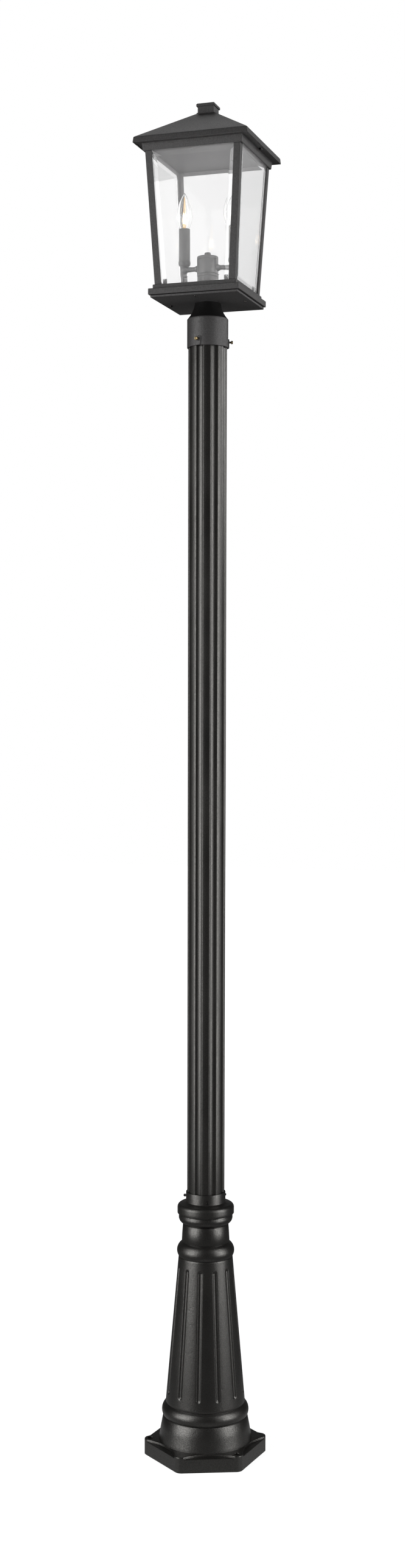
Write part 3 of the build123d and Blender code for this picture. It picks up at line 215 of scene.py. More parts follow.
# %% World
WORLD_LIGHT = 0.26
DARK_ROOM, DIM_ROOM, BACKDROP_IN_GLOSS = 0.015, 0.035, 0.12
world = bpy.data.worlds.new("studio")
bpy.context.scene.world = world
world.use_nodes = True
sky = world.node_tree
sky.nodes.clear()
seen, glossy = ray_kinds(sky)
way = add(sky, "ShaderNodeTexCoord").outputs["Generated"]
away = add(sky, "ShaderNodeVectorMath", {0: way, 1: towards[:]}, operation="DOT_PRODUCT").outputs["Value"]
room = ramp(sky, away, (0.42, grey(DARK_ROOM)), (0.81, grey(DIM_ROOM)), (0.99, grey(BACKDROP_IN_GLOSS)))
lit = blend_numbers(sky, glossy, WORLD_LIGHT, room)
backdrop = add(sky, "ShaderNodeBackground", {
    "Color": grey(1), "Strength": blend_numbers(sky, seen, lit, 1)})
add(sky, "ShaderNodeOutputWorld", {"Surface": backdrop.outputs["Background"]})
print("world: light", WORLD_LIGHT, "gloss", DARK_ROOM, "to", BACKDROP_IN_GLOSS)

# %% [markdown]
# The floor is pale and matt. It shows white to the camera except where the object
# takes its light, so the base keeps its soft shadow and stands on something. To the
# light itself it is a plain grey floor: a white one would fill every dark underside.
# Gloss finds it darker still, so the base keeps its black rims, apart from a lighter
# patch round the foot that the foot's sides mirror.

# %% Floor
FLOOR_REACH = 14
FLOOR_GREY, FLOOR_GREY_IN_GLOSS = 0.32, 0.06
FLOOR_GLOW = 0.84
GLOSS_NEAR, GLOSS_FAR = 0.30, 0.04
floor_finish, tree, place = new_finish("studio_floor")
seen, glossy = ray_kinds(tree)
matt = add(tree, "ShaderNodeBsdfDiffuse", {
    "Color": blend_colours(tree, glossy, grey(FLOOR_GREY), grey(FLOOR_GREY_IN_GLOSS)),
    "Normal": bump(tree, noise(tree, place, 40, 3), 0.05, 0.001)})
distance = add(tree, "ShaderNodeVectorMath", {0: place}, operation="LENGTH").outputs["Value"]
glow_seen = reckon(tree, "MULTIPLY", seen, remap(tree, distance, 0.5, 2.5, FLOOR_GLOW, 1))
glow_glossy = reckon(tree, "MULTIPLY", glossy, remap(tree, distance, 0.15, 0.7, GLOSS_NEAR, GLOSS_FAR))
glow = add(tree, "ShaderNodeEmission", {
    "Color": grey(1), "Strength": reckon(tree, "MAXIMUM", glow_seen, glow_glossy)})
show(tree, add(tree, "ShaderNodeAddShader", {0: matt.outputs["BSDF"], 1: glow.outputs["Emission"]}))

floor_mesh = bpy.data.meshes.new("floor")
corners = [(x * FLOOR_REACH, y * FLOOR_REACH, 0) for x, y in ((-1, -1), (1, -1), (1, 1), (-1, 1))]
floor_mesh.from_pydata(corners, [], [(0, 1, 2, 3)])
floor_mesh.materials.append(floor_finish)
floor = link("floor", floor_mesh)
print("floor: %.0f m wide" % (2 * FLOOR_REACH))

# %% [markdown]
# Two tall soft boxes stand to the left and right. They run the whole height of the
# post, so each draws one even streak down it. A wide one overhead, a little behind
# the lantern, gives the roof's slopes their sheen, and a small one behind it on the
# right does so for the lantern's right side. These two have a honeycomb grid, which
# keeps their light off the base and its upward faces.

# %% Soft boxes
def softbox(name, azimuth, distance, height, width, tall, radiance, aim=None, grid=None):
    """Hang a rectangular lamp at a direction round the axis, turned to face a point.
    A flat lamp of radiance L and area A sends out pi L A watts. A honeycomb grid stops
    light beyond its angle g. The lamp then needs only the share (tan g - g) / tan g of
    those watts to look as bright from straight ahead."""
    data = bpy.data.lights.new(name, "AREA")
    data.shape = "RECTANGLE"
    data.size, data.size_y = width, tall
    data.energy = math.pi * radiance * width * tall
    if grid:
        g = math.radians(grid)
        data.spread = 2 * g
        data.energy *= (math.tan(g) - g) / math.tan(g)
    lamp = link(name, data)
    a = math.radians(azimuth)
    lamp.location = (distance * math.sin(a), -distance * math.cos(a), height)
    target = Vector(aim or (0, 0, height))
    lamp.rotation_euler = (target - lamp.location).to_track_quat("-Z", "Y").to_euler()
    print(name, "%.1f W" % data.energy)


softbox("soft_left", -42, 2.6, 1.5, 1.9, 3.4, 4.5)
softbox("soft_right", 83, 2.6, 1.5, 1.5, 3.4, 4.8)
softbox("soft_top", 205, 1.4, 4.8, 2, 2, 3.7, aim=(0, 0, 2.7), grid=16)
softbox("soft_back", 130, 2.6, 3.05, 1.2, 1.6, 7.5, aim=(0, 0, 2.5), grid=20)

# %% [markdown]
# ## Black powder coat
# Every black part is metal under a baked powder coat. Real powder melts into a
# fine, slightly pebbled skin: matt from afar, with a sheen that breaks up over the
# grain. So the finish has two depths of bump, a fine grain and a slow waviness, and
# its colour and roughness drift a little over a hand's width. Castings keep a
# rougher skin, with the odd pit and flow mark of the sand below.

# %% Powder coats
GRAIN, WAVES, DRIFTS, SPECKS, PITS = 460, 85, 9, 420, 70
PAINTED_SHADE_FADE = 0.0006


def powder_coat(name, colour, drift, rough, grain_depth, wave_depth, specular, pits=0,
                warmth=(1, 0.98, 0.94), painted_shade_span=None):
    """Black coat: grain of about two millimetres, slow waves, colour and roughness drift.
    The last argument is a span of heights, up in a recess, that gets painted shade: a darker colour and less
    gloss for the shadow that falls there."""
    material, tree, place = new_finish(name)
    grain = noise(tree, place, GRAIN, 3, Roughness=0.7)
    wave = noise(tree, place, WAVES, 4, Roughness=0.55)
    slow = noise(tree, place, DRIFTS, 3)
    worn = noise(tree, place, SPECKS, 1)
    normal = bump(tree, grain, 0.55, grain_depth * MM)
    normal = bump(tree, wave, 0.6, wave_depth * MM, Normal=normal)
    if pits:
        pit = add(tree, "ShaderNodeTexVoronoi", {"Vector": place, "Scale": PITS, "Randomness": 1.0})
        hollow = remap(tree, pit.outputs["Distance"], 0, 0.22, 0, 1, "SMOOTHSTEP")
        normal = bump(tree, hollow, 0.5, pits * MM, Normal=normal)
    tint = ramp(tree, slow, (0.35, tinted(colour, 1 - drift)), (0.68, tinted(colour, 1 + drift)))
    speck = remap(tree, worn, 0.62, 0.80, 0, 0.6)
    shade = blend_colours(tree, speck, tint, tinted(colour, 1.9, 0.006))
    sheen = remap(tree, slow, 0.3, 0.7, rough - 0.04, rough + 0.04)
    sheen = reckon(tree, "ADD", sheen, remap(tree, grain, 0.3, 0.7, -0.05, 0.05))
    gloss = remap(tree, grain, 0.33, 0.67, specular * 1.25, specular * 0.75)
    # Painted shade: within the span of heights the colour falls to under a fifth and the gloss to under a
    # third, standing in for the shadow in a recess.
    if painted_shade_span:
        height = add(tree, "ShaderNodeSeparateXYZ", {"Vector": place}).outputs["Z"]
        middle, reach = (painted_shade_span[0] + painted_shade_span[1]) / 2, (painted_shade_span[1] - painted_shade_span[0]) / 2
        off_middle = reckon(tree, "ABSOLUTE", reckon(tree, "SUBTRACT", height, middle))
        painted_shade = remap(tree, off_middle, reach - PAINTED_SHADE_FADE, reach, 1, 0)
        shade = blend_colours(tree, painted_shade, shade, tinted(colour, 0.18))
        gloss = blend_numbers(tree, painted_shade, gloss, specular * 0.3)
    show(tree, add(tree, "ShaderNodeBsdfPrincipled", {
        "Base Color": shade, "Roughness": sheen, "Specular IOR Level": gloss,
        "Specular Tint": tinted(warmth), "Normal": normal}))
    return material


# Heights of the fitter's flare, in the shadow under the bottom plate, which the lantern coat gives painted
# shade.
FLARE_SHADE_HEIGHTS = (2.2944, 2.3254)
finishes = {
    "cast_black": powder_coat(
        "cast_black_coat", (0.0042, 0.0039, 0.0035), drift=0.16, rough=0.37, grain_depth=0.30,
        wave_depth=0.36, specular=0.90, pits=0.25),
    "post_black": powder_coat(
        "post_black_coat", (0.0048, 0.0045, 0.0041), drift=0.10, rough=0.38, grain_depth=0.30,
        wave_depth=0.12, specular=0.9),
    "lantern_black": powder_coat(
        "lantern_black_coat", (0.0310, 0.0298, 0.0298), drift=0.10, rough=0.56, grain_depth=0.40,
        wave_depth=0.10, specular=0.6, warmth=(1, 0.99, 0.99), painted_shade_span=FLARE_SHADE_HEIGHTS),
    "cluster_black": powder_coat(
        "cluster_black_coat", (0.050, 0.050, 0.051), drift=0.08, rough=0.42, grain_depth=0.30,
        wave_depth=0.08, specular=0.6),
}
print("coats:", list(finishes))

# %% [markdown]
# ## Bare metals, plastics and glass
# Screws and shells are small, so their finishes are simple: a turned or plated
# metal with fine scratches and a little tarnish in the noise. Their colour is the
# metal's own, which a metallic shader shows in its reflections.

# %% Metals and plastics
SCRATCH_DEPTH, SATIN_DEPTH = 0.05 * MM, 0.03 * MM


def metal(name, colour, dull, rough):
    """Plated or turned metal: tarnish between two colours, streaky fine scratches."""
    material, tree, place = new_finish(name)
    tarnish = noise(tree, place, 160, 4)
    turned_marks = add(tree, "ShaderNodeMapping", {"Vector": place, "Scale": (300, 300, 2600)})
    marks = noise(tree, turned_marks.outputs["Vector"], 1, 2)
    show(tree, add(tree, "ShaderNodeBsdfPrincipled", {
        "Base Color": blend_colours(tree, tarnish, tinted(colour), tinted(dull)), "Metallic": 1,
        "Roughness": remap(tree, tarnish, 0.3, 0.7, rough - 0.06, rough + 0.1),
        "Normal": bump(tree, marks, 0.4, SCRATCH_DEPTH)}))
    return material


def moulded(name, colour, rough):
    """Moulded plastic: an even colour with faint mottling and a fine satin grain."""
    material, tree, place = new_finish(name)
    mottle = noise(tree, place, 220, 3)
    show(tree, add(tree, "ShaderNodeBsdfPrincipled", {
        "Base Color": blend_colours(tree, mottle, tinted(colour, 0.9), tinted(colour, 1.08)),
        "Roughness": remap(tree, mottle, 0.3, 0.7, rough - 0.05, rough + 0.07),
        "Normal": bump(tree, noise(tree, place, 1800, 1), 0.4, SATIN_DEPTH)}))
    return material


finishes.update({
    "black_screw": metal("blackened_screw", (0.055, 0.052, 0.050), (0.030, 0.029, 0.028), 0.42),
    "brass_screw": metal("brass_screw", (0.34, 0.26, 0.13), (0.10, 0.08, 0.05), 0.36),
    "zinc_steel": metal("zinc_steel", (0.56, 0.56, 0.54), (0.38, 0.38, 0.37), 0.36),
    "ground_green": metal("green_ground_screw", (0.05, 0.26, 0.09), (0.03, 0.16, 0.06), 0.40),
    "brass_shell": metal("brass_shell", (0.66, 0.50, 0.24), (0.45, 0.32, 0.15), 0.30),
    "nickel_shell": metal("nickel_shell", (0.60, 0.57, 0.52), (0.42, 0.40, 0.37), 0.26),
    "connector_plastic": moulded("connector_plastic", (0.55, 0.22, 0.05), 0.45),
    "wire_insulation": moulded("wire_insulation", (0.05, 0.05, 0.05), 0.42),
    "socket_plastic": moulded("socket_plastic", (0.030, 0.029, 0.028), 0.40),
    "bulb_insulator": moulded("bulb_insulator", (0.012, 0.012, 0.014), 0.18),
})
print("with metals and plastics:", len(finishes))

# %% [markdown]
# Glass is two things at once: it bends what is behind it and mirrors what is in
# front. The panes are real solids with a ground bevel, so the bend comes from the
# shape and needs no trick. Cut edges look green because light runs a long way
# through the sheet there, and a faint tint gives that. A thin veil of dust scatters
# some white light, so what is dark behind a pane looks grey. Lamp light would stop
# at a refracting pane, so for shadow rays the finish turns into a clear film.

# %% Glass
def clear_glass(name, tint, ripple, dust, green=0):
    """Refracting glass with a faint ripple, smear and veil of dust. Shadow rays pass as
    through film. Green is how fast colour builds up per metre, which shows along an edge."""
    material, tree, place = new_finish(name)
    draw_lines = add(tree, "ShaderNodeMapping", {"Vector": place, "Scale": (18, 18, 5)})
    waves = noise(tree, draw_lines.outputs["Vector"], 1, 2)
    smear = noise(tree, place, 30, 5)
    body = add(tree, "ShaderNodeBsdfPrincipled", {
        "Base Color": tinted(tint), "Roughness": remap(tree, smear, 0.45, 0.75, 0, 0.03), "IOR": 1.5,
        "Transmission Weight": 1 - dust, "Normal": bump(tree, waves, 0.3, ripple * MM)})
    film = add(tree, "ShaderNodeBsdfTransparent", {"Color": tinted(tint, 0.93)})
    path = add(tree, "ShaderNodeLightPath").outputs["Is Shadow Ray"]
    output = show(tree, add(tree, "ShaderNodeMixShader", {
        0: path, 1: body.outputs["BSDF"], 2: film.outputs["BSDF"]}))
    if green:
        depth = add(tree, "ShaderNodeVolumeAbsorption", {"Color": (0.50, 0.90, 0.80, 1), "Density": green})
        tree.links.new(depth.outputs["Volume"], output.inputs["Volume"])
    return material


finishes["clear_glass"] = clear_glass("bevelled_glass", (0.980, 0.970, 0.974), 0.05, 0.045, green=5)
finishes["bulb_glass"] = clear_glass("bulb_glass", (0.995, 0.995, 0.995), 0.02, 0)
print("with glass:", len(finishes))

# %% [markdown]
# The filament is a wire led up and down in a narrow tent. It glows white-hot about a
# third of the way up, where the legs stand widest, and golden at the foot and the
# tip. Colour and strength follow the height, so they stay with the wire.

# %% Filament
FILAMENT_LOW, FILAMENT_HIGH, FILAMENT_GLOW = 2.470, 2.532, 16
material, tree, place = new_finish("glowing_filament")
height = add(tree, "ShaderNodeSeparateXYZ", {"Vector": place}).outputs["Z"]
share = remap(tree, height, FILAMENT_LOW, FILAMENT_HIGH, 0, 1)
heat = ramp(tree, share, (0, (0.90, 0.52, 0.20, 1)), (0.17, (1, 0.72, 0.36, 1)),
            (0.32, (1, 0.84, 0.60, 1)), (0.56, (1, 0.66, 0.28, 1)), (1, (0.85, 0.55, 0.22, 1)))
power = ramp(tree, share, *[(position, grey(strength)) for position, strength in (
    (0, 0.02), (0.16, 0.05), (0.24, 1), (0.42, 1), (0.52, 0.08), (1, 0.04))])
show(tree, add(tree, "ShaderNodeBsdfPrincipled", {
    "Base Color": (0.30, 0.22, 0.12, 1), "Metallic": 1,
    "Roughness": remap(tree, noise(tree, place, 900, 2), 0, 1, 0.3, 0.6),
    "Emission Color": heat, "Emission Strength": reckon(tree, "MULTIPLY", power, FILAMENT_GLOW)}))
finishes["filament"] = material
print("finishes:", len(finishes))

# %% [markdown]
# ## From arrays to pieces
# Nearly every part of this light is a stack of rings: circles for what was turned,
# rounded squares for the roof and tray, an L for the corner angles. A stack whose
# last ring meets its first is a hollow shell; otherwise both ends get a lid. Rings
# run anticlockwise seen from where the stack is heading, so faces point outwards.

# %% Rings to a mesh
def weigh_normals(made):
    """Let the big flat faces decide the shading, so soft edges look like thin arcs."""
    modifier = made.modifiers.new("flat_faces_stay_flat", "WEIGHTED_NORMAL")
    modifier.keep_sharp = True
    modifier.weight = 60


def put(name, mesh, slot, nodes, flat=False, sharp=42):
    """Give a mesh its finish and its place in the frame, standing for CAD nodes."""
    mesh.materials.clear()
    mesh.materials.append(finishes[slot])
    mesh.shade_flat() if flat else mesh.shade_smooth()
    made = link(name, mesh)
    if not flat:
        mesh.set_sharp_from_angle(angle=math.radians(sharp))
    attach(made, body_of_node[nodes[0]])
    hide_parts(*nodes)
    print(name, "has", len(mesh.polygons), "faces in", slot)
    return made


def ring_mesh(name, rings, hollow=False):
    """Skin a stack of rings: rings[i, j] is point j of ring i, in millimetres.
    A quad joins (i, j), (i, j+1), (i+1, j+1) and (i+1, j). Points that fall together
    are merged, so a ring drawn in to one point closes as a pole."""
    rings = np.asarray(rings, float) * MM
    rows, columns = rings.shape[:2]
    number = np.arange(rows * columns).reshape(rows, columns)
    low = number if hollow else number[:-1]
    high = np.roll(number, -1, axis=0) if hollow else number[1:]
    quads = np.stack([low, np.roll(low, -1, axis=1), np.roll(high, -1, axis=1), high], axis=-1)
    faces = quads.reshape(-1, 4).tolist()
    if not hollow:
        faces += [number[0, ::-1].tolist(), number[-1].tolist()]
    mesh = bpy.data.meshes.new(name)
    mesh.from_pydata(rings.reshape(-1, 3), [], faces)
    work = bmesh.new()
    work.from_mesh(mesh)
    bmesh.ops.remove_doubles(work, verts=work.verts, dist=0.0005 * MM)
    work.to_mesh(mesh)
    work.free()
    mesh.validate()
    return mesh


def put_rings(name, rings, slot, node, hollow=False, weighed=False, **look):
    """Skin a stack of rings and put it in the place of its CAD node."""
    made = put(name, ring_mesh(name, rings, hollow), slot, [node], **look)
    if weighed:
        weigh_normals(made)


# %% [markdown]
# A profile drawn with sharp corners looks like a computer drawing. Metal that was
# cast, sawn or folded has small rounded edges that catch the light, so each corner
# of a profile is replaced by a short curve.

# %% Profiles
def soft_corners(points, reach, steps=3, closed=False):
    """Round the corners of a line: between the points that lie reach before and after
    a corner p it follows (1-t)^2 a + 2t(1-t) p + t^2 b."""
    points = np.asarray(points, float)
    back = np.roll(points, 1, axis=0) - points
    on = np.roll(points, -1, axis=0) - points
    back_length = np.linalg.norm(back, axis=1, keepdims=True)
    on_length = np.linalg.norm(on, axis=1, keepdims=True)
    reach = np.minimum(np.reshape(reach, (-1, 1)), 0.45 * np.minimum(back_length, on_length))
    start, stop = points + back / back_length * reach, points + on / on_length * reach
    t = np.linspace(0, 1, steps + 1)[None, :, None]
    curve = (1 - t) ** 2 * start[:, None] + 2 * t * (1 - t) * points[:, None] + t ** 2 * stop[:, None]
    if closed:
        return curve.reshape(-1, 2)
    return np.concatenate([points[:1], curve[1:-1].reshape(-1, 2), points[-1:]])


def arc(start, middle, stop, count):
    """Points of the circle through three points, from start by way of middle to stop."""
    (ax, ay), (bx, by), (cx, cy) = start, middle, stop
    twice = 2 * (ax * (by - cy) + bx * (cy - ay) + cx * (ay - by))
    a2, b2, c2 = ax * ax + ay * ay, bx * bx + by * by, cx * cx + cy * cy
    x = (a2 * (by - cy) + b2 * (cy - ay) + c2 * (ay - by)) / twice
    y = (a2 * (cx - bx) + b2 * (ax - cx) + c2 * (bx - ax)) / twice
    turn = [math.atan2(q - y, p - x) for p, q in (start, middle, stop)]
    span = (turn[2] - turn[0]) % (2 * math.pi)
    if (turn[1] - turn[0]) % (2 * math.pi) > span:
        span -= 2 * math.pi
    angle = turn[0] + span * np.linspace(0, 1, count)
    radius = math.hypot(ax - x, ay - y)
    return np.stack([x + radius * np.cos(angle), y + radius * np.sin(angle)], axis=1)


def flowing(points, first_way, last_way, count):
    """Smooth line through points: cubic pieces whose slopes at the inner points are
    the chord between their neighbours, and at both ends the given ways."""
    points = np.asarray(points, float)
    span = np.linalg.norm(np.diff(points, axis=0), axis=1)
    slope = np.zeros_like(points)
    slope[1:-1] = (points[2:] - points[:-2]) / (span[1:] + span[:-1])[:, None]
    slope[0] = np.array(first_way) / np.linalg.norm(first_way)
    slope[-1] = np.array(last_way) / np.linalg.norm(last_way)
    t = np.linspace(0, 1, count, endpoint=False)[None, :, None]
    h = span[:, None, None]
    curve = ((2 * t ** 3 - 3 * t ** 2 + 1) * points[:-1, None]
             + (t ** 3 - 2 * t ** 2 + t) * h * slope[:-1, None]
             + (3 * t ** 2 - 2 * t ** 3) * points[1:, None] + (t ** 3 - t ** 2) * h * slope[1:, None])
    return np.concatenate([curve.reshape(-1, 2), points[-1:]])


def full_turn(count):
    """So many even angles round a circle, the last one a step short of the first."""
    return np.linspace(0, 2 * np.pi, count, endpoint=False)


def turned(profile, x=0, count=96):
    """Rings of a turned shape: profile point (r, z) goes to (x + r cos a, r sin a, z)."""
    profile = np.asarray(profile, float)
    a = full_turn(count)
    r, z = profile[:, :1], profile[:, 1:]
    return np.stack([x + r * np.cos(a), r * np.sin(a), z + 0 * a], axis=-1)


def corner_arcs(steps):
    """Angles along a square's four rounded corners, with each one's sign in x and y."""
    quarter = np.linspace(0, np.pi / 2, steps + 1)
    a = (quarter[None] + np.arange(4)[:, None] * np.pi / 2).ravel()
    return a, np.repeat([1, -1, -1, 1], steps + 1), np.repeat([1, 1, -1, -1], steps + 1)


def squared(profile, corner):
    """Rings of a square with rounded corners: profile point (h, z) goes to corner
    centres (+-(h - c), +-(h - c)) plus a quarter circle of radius c."""
    profile = np.asarray(profile, float)
    a, sign_x, sign_y = corner_arcs(5)
    h, z = profile[:, :1], profile[:, 1:]
    c = np.minimum(np.reshape(corner, (-1, 1)), h)
    x = sign_x * (h - c) + c * np.cos(a)
    y = sign_y * (h - c) + c * np.sin(a)
    return np.stack([x, y, z + 0 * a], axis=-1)


def quarter_turned(rings, turns):
    """Turn rings round the axis, a quarter at a time: (x, y) goes to (-y, x)."""
    for _ in range(turns):
        rings = np.stack([-rings[..., 1], rings[..., 0], rings[..., 2]], axis=-1)
    return rings


# %% [markdown]
# ## The cast base
# The base is one hollow casting. Its foot is a hexagon, its upper part is turned,
# and no single profile gives both, so it is made as two shells that meet under the
# skirt. The foot's top is scalloped: an arc is sunk into it along each side, which
# leaves raised lugs at the six corners.

# %% Foot of the base
FOOT_FLAT_R = 128 * math.cos(math.radians(30))
FOOT_CORNER_ROUND = 15
FOOT_HEIGHT, FOOT_HOLLOW, FOOT_WALL = 33, 24, 6
SCALLOP_R, SCALLOP_REACH, SCALLOP_DEPTH, SCALLOP_END = 100, 15, 4, 25.42
FOOT_ANGLE = 22.5 - 90
SKIRT_FOOT_R = 96
EDGE_ROUND = 1.8


def hexagon_radius(turn):
    """Distance to a rounded hexagon: f / cos(turn) along a flat side, and along a
    corner the far side of a circle of the corner's radius."""
    turn = np.abs(turn)
    centre = (FOOT_FLAT_R - FOOT_CORNER_ROUND) / math.cos(math.radians(30))
    past = math.radians(30) - turn
    under_root = np.maximum(FOOT_CORNER_ROUND ** 2 - (centre * np.sin(past)) ** 2, 0)
    corner = centre * np.cos(past) + np.sqrt(under_root)
    tangent = math.atan2(centre / 2, FOOT_FLAT_R)
    return np.where(turn < tangent, FOOT_FLAT_R / np.cos(turn), corner)


def sunk_arc(turn, centre, radius):
    """Distance to the near side of a circle centred outside:
    c cos(turn) - sqrt(R^2 - c^2 sin^2(turn))."""
    under_root = np.maximum(radius ** 2 - (centre * np.sin(turn)) ** 2, 0)
    return centre * np.cos(turn) - np.sqrt(under_root)


half_side = np.radians(np.concatenate([
    np.linspace(0, 24.6, 34), np.linspace(24.8, 26, 9), np.linspace(26.4, 30, 13)]))
one_side = np.concatenate([-half_side[:0:-1], half_side[:-1]])
turn = np.tile(one_side, 6)
heading = turn + np.repeat(np.arange(6) * math.radians(60), len(one_side)) + math.radians(FOOT_ANGLE)
edge = hexagon_radius(turn)
scallop = sunk_arc(turn, FOOT_FLAT_R - SCALLOP_REACH + SCALLOP_R, SCALLOP_R)
step = np.minimum(np.where(np.abs(turn) < math.radians(SCALLOP_END), scallop, 1e3), edge)
step = np.maximum(step, SKIRT_FOOT_R)
room = edge - step
ledge_z = FOOT_HEIGHT - SCALLOP_DEPTH
ledge_round = np.minimum(EDGE_ROUND, room / 2)
fillet = np.minimum(1, room / 3)
inner_edge = edge - FOOT_WALL
foot_rows = [
    (inner_edge, 0), (edge - 0.6, 0), (edge, 0.6),
    (edge, ledge_z - EDGE_ROUND), (edge - 0.3 * ledge_round, ledge_z - 0.3 * EDGE_ROUND),
    (edge - ledge_round, ledge_z), (step + fillet, ledge_z), (step + 0.3 * fillet, ledge_z + 0.3 * fillet),
    (step, ledge_z + fillet), (step, FOOT_HEIGHT - EDGE_ROUND),
    (step - 0.3 * EDGE_ROUND, FOOT_HEIGHT - 0.3 * EDGE_ROUND), (step - EDGE_ROUND, FOOT_HEIGHT),
    (SKIRT_FOOT_R - 4, FOOT_HEIGHT), (SKIRT_FOOT_R - 4, FOOT_HOLLOW), (inner_edge, FOOT_HOLLOW),
]
foot_rings = np.stack([
    np.stack([r * np.cos(heading), r * np.sin(heading), z + 0 * heading], axis=-1)
    for r, z in foot_rows
])
foot_mesh = ring_mesh("base_foot", foot_rings, hollow=True)
print("foot: %.1f mm over its corners" % (2 * edge.max()))

# %% [markdown]
# Three of the corners have an anchor hole. Holes are cut with a Boolean, because
# they are the one thing here that a stack of rings can't bend round.

# %% Anchor holes
ANCHOR_R, ANCHOR_HOLE_R, HOLE_CHAMFER = 113.5, 5.75, 0.5


def cut_with(made, cutters):
    """Take the cutters' shapes out of a piece, keep the result and drop the cutters."""
    for cutter in cutters:
        modifier = made.modifiers.new("cut", "BOOLEAN")
        modifier.object, modifier.operation, modifier.solver = cutter, "DIFFERENCE", "EXACT"
    view = bpy.context.evaluated_depsgraph_get()
    made.data = bpy.data.meshes.new_from_object(made.evaluated_get(view))
    made.modifiers.clear()
    for cutter in cutters:
        bpy.data.objects.remove(cutter)


drills = []
chamfer_r = ANCHOR_HOLE_R + HOLE_CHAMFER
for number in range(3):
    a = math.radians(FOOT_ANGLE + 30 + 120 * number)
    drill = turned([(0, -5), (ANCHOR_HOLE_R, -5), (ANCHOR_HOLE_R, 32.4), (chamfer_r, 33.01),
                    (chamfer_r, 50), (0, 50)], count=40)
    drill = drill + np.array([ANCHOR_R * math.cos(a), ANCHOR_R * math.sin(a), 0])
    drills.append(link("drill", ring_mesh("drill", drill)))
base_foot = put("base_foot", foot_mesh, "cast_black", ["base_casting"])
cut_with(base_foot, drills)
base_foot.data.shade_smooth()
base_foot.data.set_sharp_from_angle(angle=math.radians(42))
weigh_normals(base_foot)
print("foot with its holes:", len(base_foot.data.polygons), "faces")

# %% [markdown]
# The upper part is a turned shell with twelve grooves sunk into the cone. A groove
# is a depth taken off the radius: a dish across, run straight along the cone, with
# round ends. Where the dish meets the cone its edge is soft, as sand casting and
# powder leave it, so the depth fades out instead of stopping. Beside each bead runs
# a narrow crease, and a casting seam wanders round under the shoulder.

# %% Turned part of the base
GROOVES, GROOVE_DEPTH, GROOVE_HALF = 12, 2.6, 4.95
GROOVE_FOOT, GROOVE_TOP = 132, 398
CONE_FOOT, CONE_TOP = (82, 109), (55.4, 418)
SEAM_Z, SEAM_R = (505.3, 506.45), 52
SOFT_EDGE = 0.45


def groove_depth(r, a, z):
    """Depth of the grooves: with d the distance from a groove's middle line,
    g = depth (1 - (d / half width)^2), softened to (g + sqrt(g^2 + e^2)) / 2."""
    pitch = 2 * math.pi / GROOVES
    first = math.radians(FOOT_ANGLE) + pitch / 2
    sideways = r * ((a - first + pitch / 2) % pitch - pitch / 2)
    middle, reach = (GROOVE_FOOT + GROOVE_TOP) / 2, (GROOVE_TOP - GROOVE_FOOT) / 2 - GROOVE_HALF
    along = np.maximum(np.abs(z - middle) - reach, 0)
    dish = GROOVE_DEPTH * (1 - (sideways ** 2 + along ** 2) / GROOVE_HALF ** 2)
    on_cone = (z > CONE_FOOT[1]) & (z < CONE_TOP[1])
    return np.where(on_cone, (dish + np.sqrt(dish ** 2 + SOFT_EDGE ** 2)) / 2, 0)


cone_heights = np.concatenate([
    np.linspace(113, 126, 5), np.linspace(128, 142, 15), np.linspace(146, 384, 18),
    np.linspace(388, 402, 15), np.linspace(404, 414, 4)])
share = (cone_heights - CONE_FOOT[1]) / (CONE_TOP[1] - CONE_FOOT[1])
cone_side = np.stack([CONE_FOOT[0] + share * (CONE_TOP[0] - CONE_FOOT[0]), cone_heights], axis=1)
low_bead = arc((86.8, 84), (89.4, 96.5), CONE_FOOT, 16)
high_bead = arc(CONE_TOP, (58.6, 432), (49.6, 446), 16)
shoulder_bead = arc((46.4, 486), (55.2, 498), (53.7, 505), 14)
shoulder_top = arc((57.9, 519), (55.56, 524.66), (49.9, 527), 9)
skirt = [(SKIRT_FOOT_R, 27), (SKIRT_FOOT_R, 34), (95.2, 38), (91.5, 59), (87.3, 81.6), (85.9, 82.9),
         (86.6, 84.1)]
neck = [(49.5, 446), (48.1, 447.2), (49, 448.8), (47.9, 468), (46.8, 483), (45.4, 484.6), (46.3, 486)]
shoulder = [(53.3, 505.4), (52.6, 505.9), (53.4, 506.4), (56.9, 506.5), (57.6, 506.8), (57.9, 507.5),
            (57.9, 512)]
collar = [(45, 528.3), (41.4, 529.7), (40.6, 530.4), (40.4, 532), (40.4, 549.8), (40.2, 550.7), (39.6, 551)]
outside = np.concatenate([
    skirt, low_bead[1:-1], [(82, 109), (80.7, 110.2), (81.5, 111.6)], cone_side,
    [(55.6, 415.6), (54.3, 416.9), (55.2, 418)], high_bead[1:-1], neck, shoulder_bead[1:],
    shoulder, shoulder_top, collar])
inside = [(38.7, 551), (38.4, 550.6), (38.4, 485), (32, 485), (32, 480), (41.4, 480), (44.6, 446),
          (50.4, 418), (77, 109), (81.8, 84), (91, 34), (91, 27)]
columns_half = np.concatenate([np.linspace(0, 3, 9), np.linspace(3.35, 6.6, 12), np.linspace(7.3, 15, 5)])
one_groove = np.concatenate([-columns_half[:0:-1], columns_half[:-1]])
starts = np.repeat(np.arange(GROOVES) * 30, len(one_groove))
a = np.radians(np.tile(one_groove, GROOVES) + starts + FOOT_ANGLE + 15)
profile = np.concatenate([outside, inside])
r = np.repeat(profile[:, :1], len(a), axis=1)
z = np.repeat(profile[:, 1:], len(a), axis=1)
outer_row = (np.arange(len(profile)) < len(outside))[:, None]
r = r - np.where(outer_row, groove_depth(r, a[None], z), 0)
seam = (z > SEAM_Z[0]) & (z < SEAM_Z[1]) & (r > SEAM_R)
wander = np.sin(7 * a + 1.1) * np.sin(17 * a + 0.4) + 0.5 * np.sin(41 * a)
r = r + np.where(seam, 0.25 + 0.30 * wander, 0)
z = z + np.where(seam, 0.25 * np.sin(5 * a + 2) * np.sin(13 * a), 0)
put_rings("base_cone", np.stack([r * np.cos(a), r * np.sin(a), z], axis=-1), "cast_black", "base_casting",
          hollow=True, sharp=40)

